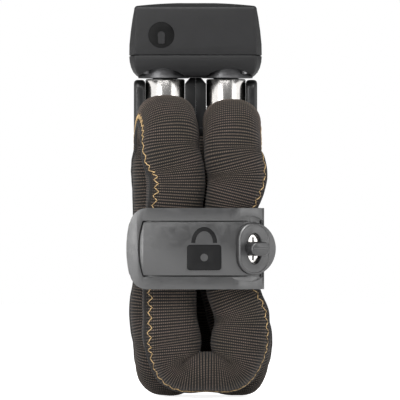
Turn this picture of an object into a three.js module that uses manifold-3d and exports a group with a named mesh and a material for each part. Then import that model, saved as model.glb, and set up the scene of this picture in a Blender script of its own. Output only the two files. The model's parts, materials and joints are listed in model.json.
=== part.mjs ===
// Folding chain lock: a two-pin lock head on a sleeved chain that is folded into a bundle,
// held together by a rubber strap with a quarter-turn fastener.
// Millimetres. +Z is up, -Y is the front, +X is the right. Heights below are measured from the
// surface that the bundle stands on, and depths from its middle layer. The finished group is
// moved so that the origin is at the centre of the strap's flat back.
import * as THREE from 'three';
import { mergeVertices } from 'three/addons/utils/BufferGeometryUtils.js';
import Module from 'manifold-3d';

const wasm = await Module();
wasm.setup();

// ---------- driving dimensions ----------
const GAP = 0.3;                  // clearance between neighbouring solids
const FAR = 80;                   // a length that reaches past any piece, for cutting tools
const HEIGHT = 210;               // overall height

// chain and sleeve
const BAR = 7.5;                  // side of the square bar of a chain link
const LINK_HOLE = 10.4;           // width of the hole in a link
const LINK_WIDTH = LINK_HOLE + 2 * BAR;
const WELD = 0.15;                // how far joined links of one straight run bite together
const COLUMN_X = 16;              // centre of a column of chain, left and right of the middle
const LAYER_PITCH = 30;           // spacing of the three layers, front to back
const SLEEVE_WIDTH = 31.4;
const SLEEVE_DEPTH = 29.4;
const SLEEVE_ROUND = 11;          // corner radius of the sleeve's section
const SLEEVE_WALL = 1.6;
const FOLD_TOP_Z = 145.3;         // height of the chain link that lies across an upper fold
const FOLD_BOTTOM_Z = 14.7;       // the same for the two lower folds at the back
const FRONT_LOOP_Z = 25;          // the same for the loop that joins the columns in front
const SLEEVE_END_Z = 138.7;       // open ends of the sleeve, under the yokes

// barrels, pins and yokes
const BARREL_X = 16.3;
const BARREL_RADIUS = 10.5;
const BARREL_CORE_RADIUS = 8.4;
const BARREL_BOTTOM_Z = 144.5;
const SHELL_BOTTOM_Z = 152;
const BARREL_TOP_Z = 169.2;
const PIN_RADIUS = 5;
const PIN_TOP_Z = 192;
const SEAL_CLEARANCE = 0.1;
const SEAL_WIDTH = 1.7;
const SEAL_HEIGHT = 1.3;
const GROOVE_RADIUS = 3.2;
const GROOVE_BOTTOM_Z = 180.8;
const GROOVE_TOP_Z = 185.6;
const YOKE_PIN_RADIUS = 3;
const YOKE_PIN_Z = 148.2;
const YOKE_EAR = 5.2;             // thickness of an ear
const YOKE_EAR_WIDTH = 14;
const YOKE_TOP_Z = 168.8;
const YOKE_BASE_Z = 139;
const YOKE_BASE_HEIGHT = 4.2;
const YOKE_OPENING_WIDTH = 20;    // the way through the base of a yoke for the chain
const YOKE_OPENING_DEPTH = 22;
const YOKE_OPENING_ROUND = 6;

// lock head
const HEAD_WIDTH = 71;
const HEAD_TOP_WIDTH = 66;
const HEAD_DEPTH = 38;
const HEAD_BOTTOM_Z = 170.2;
const HEAD_SPLIT_Z = 181.7;       // parting line between skirt and cover
const HEAD_CROWN = 1.6;           // how far the top bulges up
const SKIRT_TAPER = 0.91;         // bottom of the skirt as a share of its top
const BODY_WIDTH = 60;
const BODY_DEPTH = 30;
const BODY_BOTTOM_Z = 176.8;
const BODY_TOP_Z = 205;
const VAULT_HALF_WIDTH = 13;      // arches over the barrels in the skirt's lower edge
const VAULT_HEIGHT = 4.3;
const CYLINDER_RADIUS = 8.5;
const PLUG_RADIUS = 5.8;
const CYLINDER_BOTTOM_Z = 187.3;
const CYLINDER_TOP_Z = 206.5;
const CAM_LONG = 6;
const CAM_NECK_RADIUS = 2.5;
const CAM_SHORT = 3;
const BOLT_LENGTH = 6.3;
const BOLT_WIDTH = 6;
const BOLT_HEIGHT = 3.6;
const BOLT_BOTTOM_Z = 181.2;
const CAM_TO_BOLT = 0.6;
const COVER_RECESS_Z = 208;
const COVER_TRAVEL = 12;
const COVER_LENGTH = 14;
const COVER_WIDTH = 10;
const SCREW_X = 27.3;
const SCREW_Y = 11;
const SCREW_RADIUS = 1.5;
const SCREW_HEAD_RADIUS = 2.8;
const SCREW_HEAD_Z = 171.9;       // underside of a screw's head
const SCREW_HEAD_HEIGHT = 2.4;
const SCREW_TIP_Z = 184;

// strap
const STRAP_CENTRE_Z = 79;
const STRAP_HEIGHT = 42.6;
const STRAP_SHEET = 2.4;
const STRAP_BAR = 2.4;            // extra thickness of the frame bars in front
const STRAP_CLEARANCE = 1;
const STRAP_ROUND = 12;           // inner corner radius
const WINDOW_HEIGHT = 28.7;
const WINDOW_LEFT_X = -31;
const FRAME_LEFT_X = -38;
const TONGUE_THICKNESS = 1.8;
const TONGUE_HEIGHT = WINDOW_HEIGHT - 0.8;

// quarter-turn fastener, on the tilted end of the tongue
const TURN_X = 29.6;
const TURN_Y = -47.6;
const TURN_TILT = THREE.MathUtils.degToRad(25);
const TURN_PLATE_WIDTH = 18.2;
const TURN_PLATE_HEIGHT = 27.6;
const TURN_PLATE_THICKNESS = 3.2;
const TURN_HOLE_WIDTH = 7.8;
const TURN_HOLE_HEIGHT = 15.2;
const TURN_DISC_RADIUS = 7.4;
const TURN_DISC_THICKNESS = 1;
const KNOB_WIDTH = 11;
const KNOB_HEIGHT = 7.6;
const KNOB_LENGTH = 7.6;
const SHAFT_RADIUS = 1.9;
const TOE_LENGTH = 11.6;
const TOE_WIDTH = 3.6;
const TOE_THICKNESS = 1;
const CUP_RADIUS = 7.3;
const CUP_ROOM_RADIUS = 6.4;
const LID_WIDTH = 11.6;
const LID_HEIGHT = 24.7;
const LID_THICKNESS = 0.8;

// ---------- values that follow from them ----------
const BACK_Y = LAYER_PITCH;
const FRONT_Y = -LAYER_PITCH;
const SLEEVE_HALF_X = COLUMN_X + SLEEVE_WIDTH / 2;
const SLEEVE_HALF_Y = LAYER_PITCH + SLEEVE_DEPTH / 2;
const STRAP_INNER_X = SLEEVE_HALF_X + STRAP_CLEARANCE;
const STRAP_INNER_Y = SLEEVE_HALF_Y + STRAP_CLEARANCE;
const SHEET_FRONT_Y = -(STRAP_INNER_Y + STRAP_SHEET);
const FRAME_FRONT_Y = SHEET_FRONT_Y - STRAP_BAR;
const TONGUE_BACK_Y = SHEET_FRONT_Y - GAP;
const STRAP_BOTTOM_Z = STRAP_CENTRE_Z - STRAP_HEIGHT / 2;
const LID_BACK = -(TONGUE_THICKNESS + GAP + LID_THICKNESS); // along the fastener's own axis

// ---------- materials ----------
function paint(color, roughness, metalness) {
  return new THREE.MeshStandardMaterial({ color, roughness, metalness });
}

const MATERIALS = {
  casing: paint(0x262627, 0.62, 0.0),
  yoke: paint(0x18181a, 0.5, 0.0),
  polished: paint(0xd8d4cf, 0.14, 1.0),
  dark_steel: paint(0x4c4c4f, 0.38, 0.9),
  hardened: paint(0x8d8d90, 0.4, 1.0),
  brass: paint(0xb08d4a, 0.35, 1.0),
  fabric: paint(0x2e2622, 0.95, 0.0),
  strap: paint(0x3b3c3e, 0.6, 0.0),
  seal: paint(0x101010, 0.8, 0.0),
  fastener: paint(0x1d1e20, 0.42, 0.0),
};

// ---------- shapes ----------
function roundedRect(width, depth, radius, x = 0, y = 0) {
  const [hx, hy] = [width / 2 - radius, depth / 2 - radius];
  const shape = new THREE.Shape();
  shape.absarc(x + hx, y - hy, radius, -Math.PI / 2, 0);
  shape.absarc(x + hx, y + hy, radius, 0, Math.PI / 2);
  shape.absarc(x - hx, y + hy, radius, Math.PI / 2, Math.PI);
  shape.absarc(x - hx, y - hy, radius, Math.PI, 1.5 * Math.PI);
  shape.closePath();
  return shape;
}

function stadium(length, width) {
  // long axis along the shape's own y
  const straight = (length - width) / 2;
  const shape = new THREE.Shape();
  shape.absarc(0, straight, width / 2, 0, Math.PI);
  shape.absarc(0, -straight, width / 2, Math.PI, 2 * Math.PI);
  shape.closePath();
  return shape;
}

function prism(shape, bottom, top, curveSegments = 2) {
  const settings = { depth: top - bottom, bevelEnabled: false, curveSegments };
  return new THREE.ExtrudeGeometry(shape, settings).translate(0, 0, bottom);
}

function block(x, y, bottom, width, depth, height) {
  return new THREE.BoxGeometry(width, depth, height).translate(x, y, bottom + height / 2);
}

function post(x, y, bottom, top, radius, sides = 16) {
  const geometry = new THREE.CylinderGeometry(radius, radius, top - bottom, sides).rotateX(Math.PI / 2);
  return geometry.translate(x, y, (bottom + top) / 2);
}

function crossPin(x, y, z, length, radius, sides = 12) {
  return new THREE.CylinderGeometry(radius, radius, length, sides)
    .rotateZ(Math.PI / 2).translate(x, y, z);
}

function turned(x, y, profile, sides = 20) {
  // profile points are [radius, height]
  const points = profile.map(([radius, z]) => new THREE.Vector2(radius, z));
  return new THREE.LatheGeometry(points, sides).rotateX(Math.PI / 2).translate(x, y, 0);
}

// ---------- joining and cutting ----------
function toSolid(geometry) {
  const bare = geometry.clone();
  bare.deleteAttribute('normal');
  bare.deleteAttribute('uv');
  const merged = mergeVertices(bare, 1e-4);
  const vertProperties = new Float32Array(merged.attributes.position.array);
  const triVerts = new Uint32Array(merged.index.array);
  return new wasm.Manifold(new wasm.Mesh({ numProp: 3, vertProperties, triVerts }));
}

function toGeometry(solid) {
  const { vertProperties, triVerts } = solid.getMesh();
  const geometry = new THREE.BufferGeometry();
  geometry.setAttribute('position', new THREE.BufferAttribute(new Float32Array(vertProperties), 3));
  geometry.setIndex(new THREE.BufferAttribute(new Uint32Array(triVerts), 1));
  geometry.computeVertexNormals();
  return geometry;
}

function combine(verb, first, others) {
  const solid = others.reduce((sum, geometry) => sum[verb](toSolid(geometry)), toSolid(first));
  return toGeometry(solid);
}

const cut = (first, ...others) => combine('subtract', first, others);
const join = (first, ...others) => combine('add', first, others);
const overlapOf = (first, ...others) => combine('intersect', first, others);

// ---------- the object's tree ----------
const lock = new THREE.Group();

function add(name, geometry, material, parent = lock) {
  const mesh = new THREE.Mesh(geometry, MATERIALS[material]);
  mesh.name = name;
  parent.add(mesh);
}

// ---------- chain ----------
// A link's plane is 'side' when its flat faces look left and right, 'front' when they look
// forward and back. Its span is the distance between the centres of its two end bars.
function linkShape(span) {
  const shape = stadium(span + BAR, LINK_WIDTH);
  shape.holes.push(stadium(span - BAR, LINK_HOLE));
  return shape;
}

function uprightLink(x, y, bottomBar, span, plane) {
  const geometry = prism(linkShape(span), -BAR / 2, BAR / 2, 3).rotateX(Math.PI / 2);
  if (plane === 'side') geometry.rotateZ(Math.PI / 2);
  return geometry.translate(x, y, bottomBar + span / 2);
}

function lyingLink(x, y, z, span, along) {
  const geometry = prism(linkShape(span), -BAR / 2, BAR / 2, 3);
  if (along === 'x') geometry.rotateZ(Math.PI / 2);
  return geometry.translate(x, y, z);
}

// A straight run of links, joined where one link bears on the next.
function chainRun(x, y, bottomBar, topBar, count, firstPlane) {
  const step = HOOK_STRAIGHT - WELD;
  const span = (topBar - bottomBar + (count - 1) * step) / count;
  const planes = firstPlane === 'side' ? ['side', 'front'] : ['front', 'side'];
  const links = [];
  for (let i = 0; i < count; i += 1) {
    links.push(uprightLink(x, y, bottomBar + i * (span - step), span, planes[i % 2]));
  }
  return join(...links);
}

// A square bar meets the round end of a hole before it reaches the end's crown.
const HOLE_RADIUS = LINK_HOLE / 2;
const CROWN_DROP = HOLE_RADIUS - Math.sqrt(HOLE_RADIUS ** 2 - (BAR / 2) ** 2);
const HOOK_STRAIGHT = BAR + 2 * CROWN_DROP;     // bar to bar of two links in line
const HOOK_FOLD = BAR + CROWN_DROP + 5 * GAP;   // bar to bar where a link lies across a fold
const FOLD_REACH = 0.9;          // how far a lying link reaches past the middle of a column
const CHAIN_INSET = 1.8;          // lying links sit this much nearer the bundle's middle than the sleeve
const EYE_SPAN = 22.2;            // bar to bar of the ring on a chain end
const EYE_LOW_BAR_Z = 116.8;

function endEye(x) {
  const ring = uprightLink(x, BACK_Y, EYE_LOW_BAR_Z, EYE_SPAN, 'side');
  const tangBottom = EYE_LOW_BAR_Z + EYE_SPAN;
  const tang = block(x, BACK_Y, tangBottom, BAR, 12, YOKE_PIN_Z + 5 - tangBottom);
  const bore = crossPin(x, BACK_Y, YOKE_PIN_Z, BAR + 2, YOKE_PIN_RADIUS + GAP);
  return cut(join(ring, tang), bore);
}

function buildChain() {
  const foldTop = FOLD_TOP_Z - CHAIN_INSET;
  const foldBottom = FOLD_BOTTOM_Z + CHAIN_INSET;
  const loop = FRONT_LOOP_Z + CHAIN_INSET;
  const topBar = foldTop + HOOK_FOLD;
  const bottomBar = foldBottom - HOOK_FOLD;
  const backTopBar = EYE_LOW_BAR_Z + HOOK_STRAIGHT + 3 * GAP;
  const foldSpan = LAYER_PITCH + 2 * FOLD_REACH;
  for (const [side, x] of [['left', -COLUMN_X], ['right', COLUMN_X]]) {
    add(`chain_run_back_${side}`, chainRun(x, BACK_Y, bottomBar, backTopBar, 4, 'side'), 'hardened');
    add(`chain_run_middle_${side}`, chainRun(x, 0, bottomBar, topBar, 5, 'side'), 'hardened');
    const frontRun = chainRun(x, FRONT_Y, loop - HOOK_FOLD, topBar, 4, 'front');
    add(`chain_run_front_${side}`, frontRun, 'hardened');
    add(`fold_link_bottom_${side}`, lyingLink(x, BACK_Y / 2, foldBottom, foldSpan, 'y'), 'hardened');
    add(`fold_link_top_${side}`, lyingLink(x, FRONT_Y / 2, foldTop, foldSpan, 'y'), 'hardened');
    add(`chain_eye_${side}`, endEye(x), 'hardened');
  }
  add('fold_link_front', lyingLink(0, FRONT_Y, loop, 2 * (COLUMN_X + FOLD_REACH), 'x'), 'hardened');
}

// ---------- sleeve ----------
// One hose of knitted fabric over the whole chain, open at its two ends.
function sleeveBody(inset, endBite) {
  const width = SLEEVE_WIDTH - 2 * inset;
  const depth = SLEEVE_DEPTH - 2 * inset;
  const round = SLEEVE_ROUND - inset;
  const half = SLEEVE_DEPTH / 2 - inset;
  const reachX = SLEEVE_WIDTH / 2 - inset;
  const upright = (x, y, bottom, top) => prism(roundedRect(width, depth, round, x, y), bottom, top, 1);
  const reachY = LAYER_PITCH / 2 + half;
  const crossing = (x, z) => prism(roundedRect(width, depth, round), -reachY, reachY, 1)
    .rotateX(Math.PI / 2).translate(x, 0, z);
  const pieces = [];
  for (const x of [-COLUMN_X, COLUMN_X]) {
    pieces.push(upright(x, BACK_Y, FOLD_BOTTOM_Z, SLEEVE_END_Z + endBite));
    pieces.push(upright(x, 0, FOLD_BOTTOM_Z, FOLD_TOP_Z));
    pieces.push(upright(x, FRONT_Y, FRONT_LOOP_Z, FOLD_TOP_Z));
    pieces.push(crossing(x, FOLD_BOTTOM_Z).translate(0, BACK_Y / 2, 0));
    pieces.push(crossing(x, FOLD_TOP_Z).translate(0, FRONT_Y / 2, 0));
  }
  const loop = prism(roundedRect(depth, depth, round), -COLUMN_X - reachX, COLUMN_X + reachX, 2);
  pieces.push(loop.rotateY(Math.PI / 2).translate(0, FRONT_Y, FRONT_LOOP_Z));
  return join(...pieces);
}

function buildSleeve() {
  add('chain_sleeve', cut(sleeveBody(0, 0), sleeveBody(SLEEVE_WALL, 2)), 'fabric');
}

// ---------- barrels and yokes ----------
function barrelCore(x) {
  const profile = [
    [0, BARREL_BOTTOM_Z], [BARREL_CORE_RADIUS, BARREL_BOTTOM_Z], [BARREL_CORE_RADIUS, BARREL_TOP_Z],
    [PIN_RADIUS, BARREL_TOP_Z], [PIN_RADIUS, GROOVE_BOTTOM_Z], [GROOVE_RADIUS, GROOVE_BOTTOM_Z],
    [GROOVE_RADIUS, GROOVE_TOP_Z], [PIN_RADIUS, GROOVE_TOP_Z], [PIN_RADIUS, PIN_TOP_Z - 2],
    [PIN_RADIUS - 2, PIN_TOP_Z], [0, PIN_TOP_Z],
  ];
  const slotTop = YOKE_PIN_Z + 5 + GAP;
  const slotHeight = slotTop - BARREL_BOTTOM_Z + 1;
  const slot = block(x, BACK_Y, BARREL_BOTTOM_Z - 1, BAR + 2 * GAP, 2 * BARREL_RADIUS, slotHeight);
  const bore = crossPin(x, BACK_Y, YOKE_PIN_Z, 2 * BARREL_RADIUS, YOKE_PIN_RADIUS + GAP);
  return cut(turned(x, BACK_Y, profile), slot, bore);
}

function barrelShell(x) {
  const inner = BARREL_CORE_RADIUS + GAP;
  const profile = [
    [inner, SHELL_BOTTOM_Z], [BARREL_RADIUS, SHELL_BOTTOM_Z], [BARREL_RADIUS, BARREL_TOP_Z],
    [inner, BARREL_TOP_Z], [inner, SHELL_BOTTOM_Z],
  ];
  return turned(x, BACK_Y, profile, 32);
}

function pinSeal(x) {
  const inner = PIN_RADIUS + SEAL_CLEARANCE;
  const outer = inner + SEAL_WIDTH;
  const bottom = BARREL_TOP_Z + 0.2;
  const top = bottom + SEAL_HEIGHT;
  const profile = [[inner, bottom], [outer, bottom], [outer, top], [inner, top], [inner, bottom]];
  return turned(x, BACK_Y, profile, 16);
}

function yoke(x) {
  const baseTop = YOKE_BASE_Z + YOKE_BASE_HEIGHT;
  const baseShape = roundedRect(SLEEVE_WIDTH, SLEEVE_DEPTH, SLEEVE_ROUND, x, BACK_Y);
  const [openWidth, openDepth] = [YOKE_OPENING_WIDTH, YOKE_OPENING_DEPTH];
  const openingShape = roundedRect(openWidth, openDepth, YOKE_OPENING_ROUND, x, BACK_Y);
  const base = prism(baseShape, YOKE_BASE_Z, baseTop);
  const opening = prism(openingShape, YOKE_BASE_Z - 1, baseTop + 1);
  const earShape = roundedRect(YOKE_EAR_WIDTH, YOKE_TOP_Z - YOKE_BASE_Z, 5);
  const pieces = [];
  for (const sign of [-1, 1]) {
    const offset = BARREL_RADIUS + GAP + YOKE_EAR / 2 - (Math.sign(x) === -sign ? 0.1 : 0);
    const ear = prism(earShape, -YOKE_EAR / 2, YOKE_EAR / 2).rotateX(Math.PI / 2).rotateZ(Math.PI / 2);
    pieces.push(ear.translate(x + sign * offset, BACK_Y, (YOKE_TOP_Z + YOKE_BASE_Z) / 2));
  }
  const bore = crossPin(x, BACK_Y, YOKE_PIN_Z, FAR, YOKE_PIN_RADIUS + GAP);
  const middle = Math.sign(x) * GAP / 2;
  const half = block(middle + Math.sign(x) * FAR / 2, BACK_Y, YOKE_BASE_Z - 1, FAR, FAR, FAR);
  return overlapOf(cut(join(base, ...pieces), opening, bore), half);
}

function buildBarrels() {
  for (const [side, x] of [['left', -BARREL_X], ['right', BARREL_X]]) {
    add(`yoke_${side}`, yoke(x), 'yoke');
    const yokePin = crossPin(x, BACK_Y, YOKE_PIN_Z, 2 * (BARREL_RADIUS + YOKE_EAR) - 1, YOKE_PIN_RADIUS);
    add(`yoke_pin_${side}`, yokePin, 'hardened');
    add(`barrel_core_${side}`, barrelCore(x), 'hardened');
    add(`barrel_shell_${side}`, barrelShell(x), 'polished');
    add(`pin_seal_${side}`, pinSeal(x), 'seal');
  }
}

// ---------- lock head ----------
function headCover(head) {
  const [wide, narrow] = [HEAD_WIDTH / 2, HEAD_TOP_WIDTH / 2];
  const shoulder = HEIGHT - HEAD_CROWN;
  const outline = new THREE.Shape();
  outline.moveTo(-wide, HEAD_SPLIT_Z + GAP / 2);
  outline.lineTo(wide, HEAD_SPLIT_Z + GAP / 2);
  outline.lineTo(wide, HEAD_SPLIT_Z + 3);
  outline.lineTo(narrow, shoulder - 1.5);
  outline.lineTo(narrow - 2, shoulder);
  outline.quadraticCurveTo(0, shoulder + 2 * HEAD_CROWN, -narrow + 2, shoulder);
  outline.lineTo(-narrow, shoulder - 1.5);
  outline.lineTo(-wide, HEAD_SPLIT_Z + 3);
  outline.closePath();
  const shell = prism(outline, -HEAD_DEPTH / 2, HEAD_DEPTH / 2, 4)
    .rotateX(Math.PI / 2).translate(0, BACK_Y, 0);
  const [roomWidth, roomDepth] = [BODY_WIDTH + 2 * GAP, BODY_DEPTH + 2 * GAP];
  const cavityHeight = BODY_TOP_Z + GAP - HEAD_SPLIT_Z + 1;
  const cavity = block(0, BACK_Y, HEAD_SPLIT_Z - 1, roomWidth, roomDepth, cavityHeight);
  const throat = post(0, BACK_Y, BODY_TOP_Z - 1, HEIGHT + 5, CYLINDER_RADIUS + GAP, 20);
  const recessLength = COVER_LENGTH + COVER_TRAVEL + 2 * GAP;
  const recessWidth = COVER_WIDTH + 2 * GAP;
  const recess = block(COVER_TRAVEL / 2, BACK_Y, COVER_RECESS_Z, recessLength, recessWidth, 10);
  const throatHeight = CYLINDER_TOP_Z + GAP - BODY_TOP_Z + 1;
  const throatFloor = overlapOf(throat, block(0, BACK_Y, BODY_TOP_Z - 1, FAR, FAR, throatHeight));
  const keyway = post(0, BACK_Y, CYLINDER_TOP_Z - 1, COVER_RECESS_Z + 1, PLUG_RADIUS - 1.6, 16);
  add('head_cover', cut(shell, cavity, throatFloor, keyway, recess), 'casing', head);
}

function headSkirt(head) {
  const height = HEAD_SPLIT_Z - GAP / 2 - HEAD_BOTTOM_Z;
  const corner = Math.SQRT1_2;
  const skirt = new THREE.CylinderGeometry(corner, corner * SKIRT_TAPER, height, 4)
    .rotateX(Math.PI / 2).rotateZ(Math.PI / 4);
  skirt.scale(HEAD_WIDTH, HEAD_DEPTH, 1).translate(0, BACK_Y, HEAD_BOTTOM_Z + height / 2);
  const tools = [block(0, BACK_Y, BODY_BOTTOM_Z - GAP, BODY_WIDTH + 2 * GAP, BODY_DEPTH + 2 * GAP, 20)];
  const vaultRadius = (VAULT_HALF_WIDTH ** 2 + VAULT_HEIGHT ** 2) / (2 * VAULT_HEIGHT);
  for (const x of [-BARREL_X, BARREL_X]) {
    const vault = new THREE.CylinderGeometry(vaultRadius, vaultRadius, HEAD_DEPTH + 2, 48);
    tools.push(vault.translate(x, BACK_Y, HEAD_BOTTOM_Z + VAULT_HEIGHT - vaultRadius));
    tools.push(post(x, BACK_Y, HEAD_BOTTOM_Z, BODY_BOTTOM_Z + 1, PIN_RADIUS + GAP));
  }
  const seatZ = SCREW_HEAD_Z + SCREW_HEAD_HEIGHT + GAP;
  for (const [x, y] of screwPlaces()) {
    tools.push(post(x, y, HEAD_BOTTOM_Z - 1, seatZ, SCREW_HEAD_RADIUS + GAP, 12));
    tools.push(post(x, y, HEAD_BOTTOM_Z, BODY_BOTTOM_Z + 1, SCREW_RADIUS + GAP, 12));
  }
  add('head_skirt', cut(skirt, ...tools), 'casing', head);
}

function screwPlaces() {
  const places = [];
  for (const x of [-SCREW_X, SCREW_X]) {
    for (const dy of [-SCREW_Y, SCREW_Y]) places.push([x, BACK_Y + dy]);
  }
  return places;
}

function lockBody(head) {
  const channelHeight = BOLT_HEIGHT + 2 * GAP;
  const tools = [
    block(0, BACK_Y, BOLT_BOTTOM_Z - GAP, 2 * BARREL_X, BOLT_WIDTH + 2 * GAP, channelHeight),
    post(0, BACK_Y, BOLT_BOTTOM_Z - GAP, CYLINDER_BOTTOM_Z + 1, CAM_LONG + GAP + 0.2, 20),
    post(0, BACK_Y, CYLINDER_BOTTOM_Z - GAP, BODY_TOP_Z + 1, CYLINDER_RADIUS + GAP, 20),
  ];
  for (const x of [-BARREL_X, BARREL_X]) {
    tools.push(post(x, BACK_Y, BODY_BOTTOM_Z - 1, PIN_TOP_Z + 1, PIN_RADIUS + GAP));
  }
  for (const [x, y] of screwPlaces()) {
    tools.push(post(x, y, BODY_BOTTOM_Z - 1, SCREW_TIP_Z + 1, SCREW_RADIUS + GAP / 2, 12));
  }
  const body = block(0, BACK_Y, BODY_BOTTOM_Z, BODY_WIDTH, BODY_DEPTH, BODY_TOP_Z - BODY_BOTTOM_Z);
  add('lock_body', cut(body, ...tools), 'hardened', head);
}

function cylinder(head) {
  const bore = PLUG_RADIUS + GAP;
  const profile = [
    [bore, CYLINDER_BOTTOM_Z], [CYLINDER_RADIUS, CYLINDER_BOTTOM_Z], [CYLINDER_RADIUS, CYLINDER_TOP_Z],
    [bore, CYLINDER_TOP_Z], [bore, CYLINDER_BOTTOM_Z],
  ];
  add('cylinder_housing', turned(0, BACK_Y, profile, 20), 'brass', head);
  const plug = post(0, BACK_Y, CYLINDER_BOTTOM_Z + GAP, CYLINDER_TOP_Z - GAP, PLUG_RADIUS, 20);
  const keySlot = block(0, BACK_Y, CYLINDER_TOP_Z - 15, 2.2, 7.6, 20);
  add('key_plug', cut(plug, keySlot), 'brass', head);
  const lobe = new THREE.CylinderGeometry(1, 1, BOLT_HEIGHT, 24)
    .rotateX(Math.PI / 2).scale(CAM_SHORT, CAM_LONG, 1);
  lobe.translate(0, BACK_Y, BOLT_BOTTOM_Z + BOLT_HEIGHT / 2);
  const neck = post(0, BACK_Y, BOLT_BOTTOM_Z + 1, CYLINDER_BOTTOM_Z, CAM_NECK_RADIUS, 12);
  add('lock_cam', join(lobe, neck), 'hardened', head);
}

function boltsAndTrim(head) {
  const boltX = CAM_SHORT + CAM_TO_BOLT + BOLT_LENGTH / 2;
  for (const [side, sign] of [['left', -1], ['right', 1]]) {
    const bolt = block(sign * boltX, BACK_Y, BOLT_BOTTOM_Z, BOLT_LENGTH, BOLT_WIDTH, BOLT_HEIGHT);
    add(`locking_bolt_${side}`, bolt, 'hardened', head);
    const low = HEAD_BOTTOM_Z - 0.6;
    const ring = [[7.3, low], [12.9, low], [8, low + 2.4], [7.3, low + 2.4], [7.3, low]];
    add(`socket_ring_${side}`, turned(sign * BARREL_X, BACK_Y, ring, 28), 'dark_steel', head);
  }
  const plate = block(0, BACK_Y, COVER_RECESS_Z + GAP, COVER_LENGTH, COVER_WIDTH, 1.2);
  const ribZ = COVER_RECESS_Z + GAP + 0.6;
  const thumbRib = block(COVER_LENGTH / 2 - 2, BACK_Y, ribZ, 1.2, COVER_WIDTH - 3, 1);
  add('keyhole_cover', join(plate, thumbRib), 'fastener', head);
  screwPlaces().forEach(([x, y], index) => {
    const shaft = post(x, y, SCREW_HEAD_Z + 1.1, SCREW_TIP_Z, SCREW_RADIUS, 8);
    const top = post(x, y, SCREW_HEAD_Z, SCREW_HEAD_Z + SCREW_HEAD_HEIGHT, SCREW_HEAD_RADIUS, 12);
    add(`skirt_screw_${index + 1}`, join(shaft, top), 'dark_steel', head);
  });
}

function buildHead() {
  const head = new THREE.Group();
  headCover(head);
  headSkirt(head);
  lockBody(head);
  cylinder(head);
  boltsAndTrim(head);
  lock.add(head);
}

// ---------- strap ----------
const acrossTurn = (geometry, lift = 0) => {
  // from the fastener's own axes (x along the tongue, y up, z out of the face) to the lock's
  geometry.translate(0, 0, lift).rotateX(Math.PI / 2).rotateZ(TURN_TILT);
  return geometry.translate(TURN_X, TURN_Y, STRAP_CENTRE_Z);
};

function strapBand() {
  const [x, y] = [STRAP_INNER_X, STRAP_INNER_Y];
  const outerWidth = 2 * (x + STRAP_SHEET);
  const outerDepth = 2 * (y + STRAP_SHEET) + STRAP_BAR;
  const outerRound = STRAP_ROUND + STRAP_SHEET + 1;
  const outer = roundedRect(outerWidth, outerDepth, outerRound, 0, -STRAP_BAR / 2);
  const ring = cut(
    prism(outer, STRAP_BOTTOM_Z, STRAP_BOTTOM_Z + STRAP_HEIGHT),
    prism(roundedRect(2 * x, 2 * y, STRAP_ROUND), STRAP_BOTTOM_Z - 1, STRAP_BOTTOM_Z + STRAP_HEIGHT + 1),
  );
  const frameRight = 10;
  const frameShape = roundedRect(frameRight - FRAME_LEFT_X, STRAP_HEIGHT - 0.2, 7);
  const frame = prism(frameShape, -1, STRAP_BAR + 0.1).rotateX(Math.PI / 2);
  frame.translate((frameRight + FRAME_LEFT_X) / 2, SHEET_FRONT_Y, STRAP_CENTRE_Z);
  const pocketRight = FAR;
  const pocket = block(
    (pocketRight + WINDOW_LEFT_X) / 2, SHEET_FRONT_Y - 20, STRAP_CENTRE_Z - WINDOW_HEIGHT / 2,
    pocketRight - WINDOW_LEFT_X, 40, WINDOW_HEIGHT,
  );
  const cornerBlock = block(10, 0, 0, 60, WINDOW_HEIGHT - GAP, 30);
  const cornerPocket = acrossTurn(cornerBlock, -TONGUE_THICKNESS - 2 * GAP);
  const cupSeat = acrossTurn(post(0, 0, -8, 0, CUP_RADIUS + GAP, 24));
  const lidShape = stadium(LID_HEIGHT + 2 * GAP, LID_WIDTH + 2 * GAP);
  const lidSeat = acrossTurn(prism(lidShape, LID_BACK - GAP, 5, 4));
  return cut(join(ring, frame), pocket, cornerPocket, cupSeat, lidSeat);
}

function tongue() {
  const bend = TURN_X - (TURN_Y - (TONGUE_BACK_Y - TONGUE_THICKNESS)) / Math.tan(TURN_TILT);
  const [back, front] = [TONGUE_BACK_Y, TONGUE_BACK_Y - TONGUE_THICKNESS];
  const reach = 14;
  const [dx, dy] = [Math.cos(TURN_TILT), Math.sin(TURN_TILT)];
  const tip = [TURN_X + reach * dx, TURN_Y + reach * dy];
  const inward = [-TONGUE_THICKNESS * dy, TONGUE_THICKNESS * dx];
  const innerBend = bend - TONGUE_THICKNESS * Math.tan(TURN_TILT / 2);
  const outline = new THREE.Shape();
  outline.moveTo(WINDOW_LEFT_X + 0.5, back);
  outline.lineTo(WINDOW_LEFT_X + 0.5, front);
  outline.lineTo(bend, front);
  outline.lineTo(tip[0], tip[1]);
  outline.lineTo(tip[0] + inward[0], tip[1] + inward[1]);
  outline.lineTo(innerBend, back);
  outline.closePath();
  const sheet = prism(outline, STRAP_CENTRE_Z - TONGUE_HEIGHT / 2, STRAP_CENTRE_Z + TONGUE_HEIGHT / 2);
  const half = TONGUE_HEIGHT / 2;
  const roundEnd = new THREE.Shape();
  roundEnd.moveTo(-80, -half - 1);
  roundEnd.lineTo(0, -half - 1);
  roundEnd.absarc(0, 0, half + 0.02, -Math.PI / 2, Math.PI / 2);
  roundEnd.lineTo(0, half + 1);
  roundEnd.lineTo(-80, half + 1);
  roundEnd.closePath();
  const trim = acrossTurn(prism(roundEnd, -50, 30, 6));
  return cut(overlapOf(sheet, trim), acrossTurn(post(0, 0, -5, 5, SHAFT_RADIUS + GAP, 16)));
}

function buildStrap() {
  add('strap_band', strapBand(), 'strap');
  add('strap_tongue', tongue(), 'strap');
}

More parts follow.
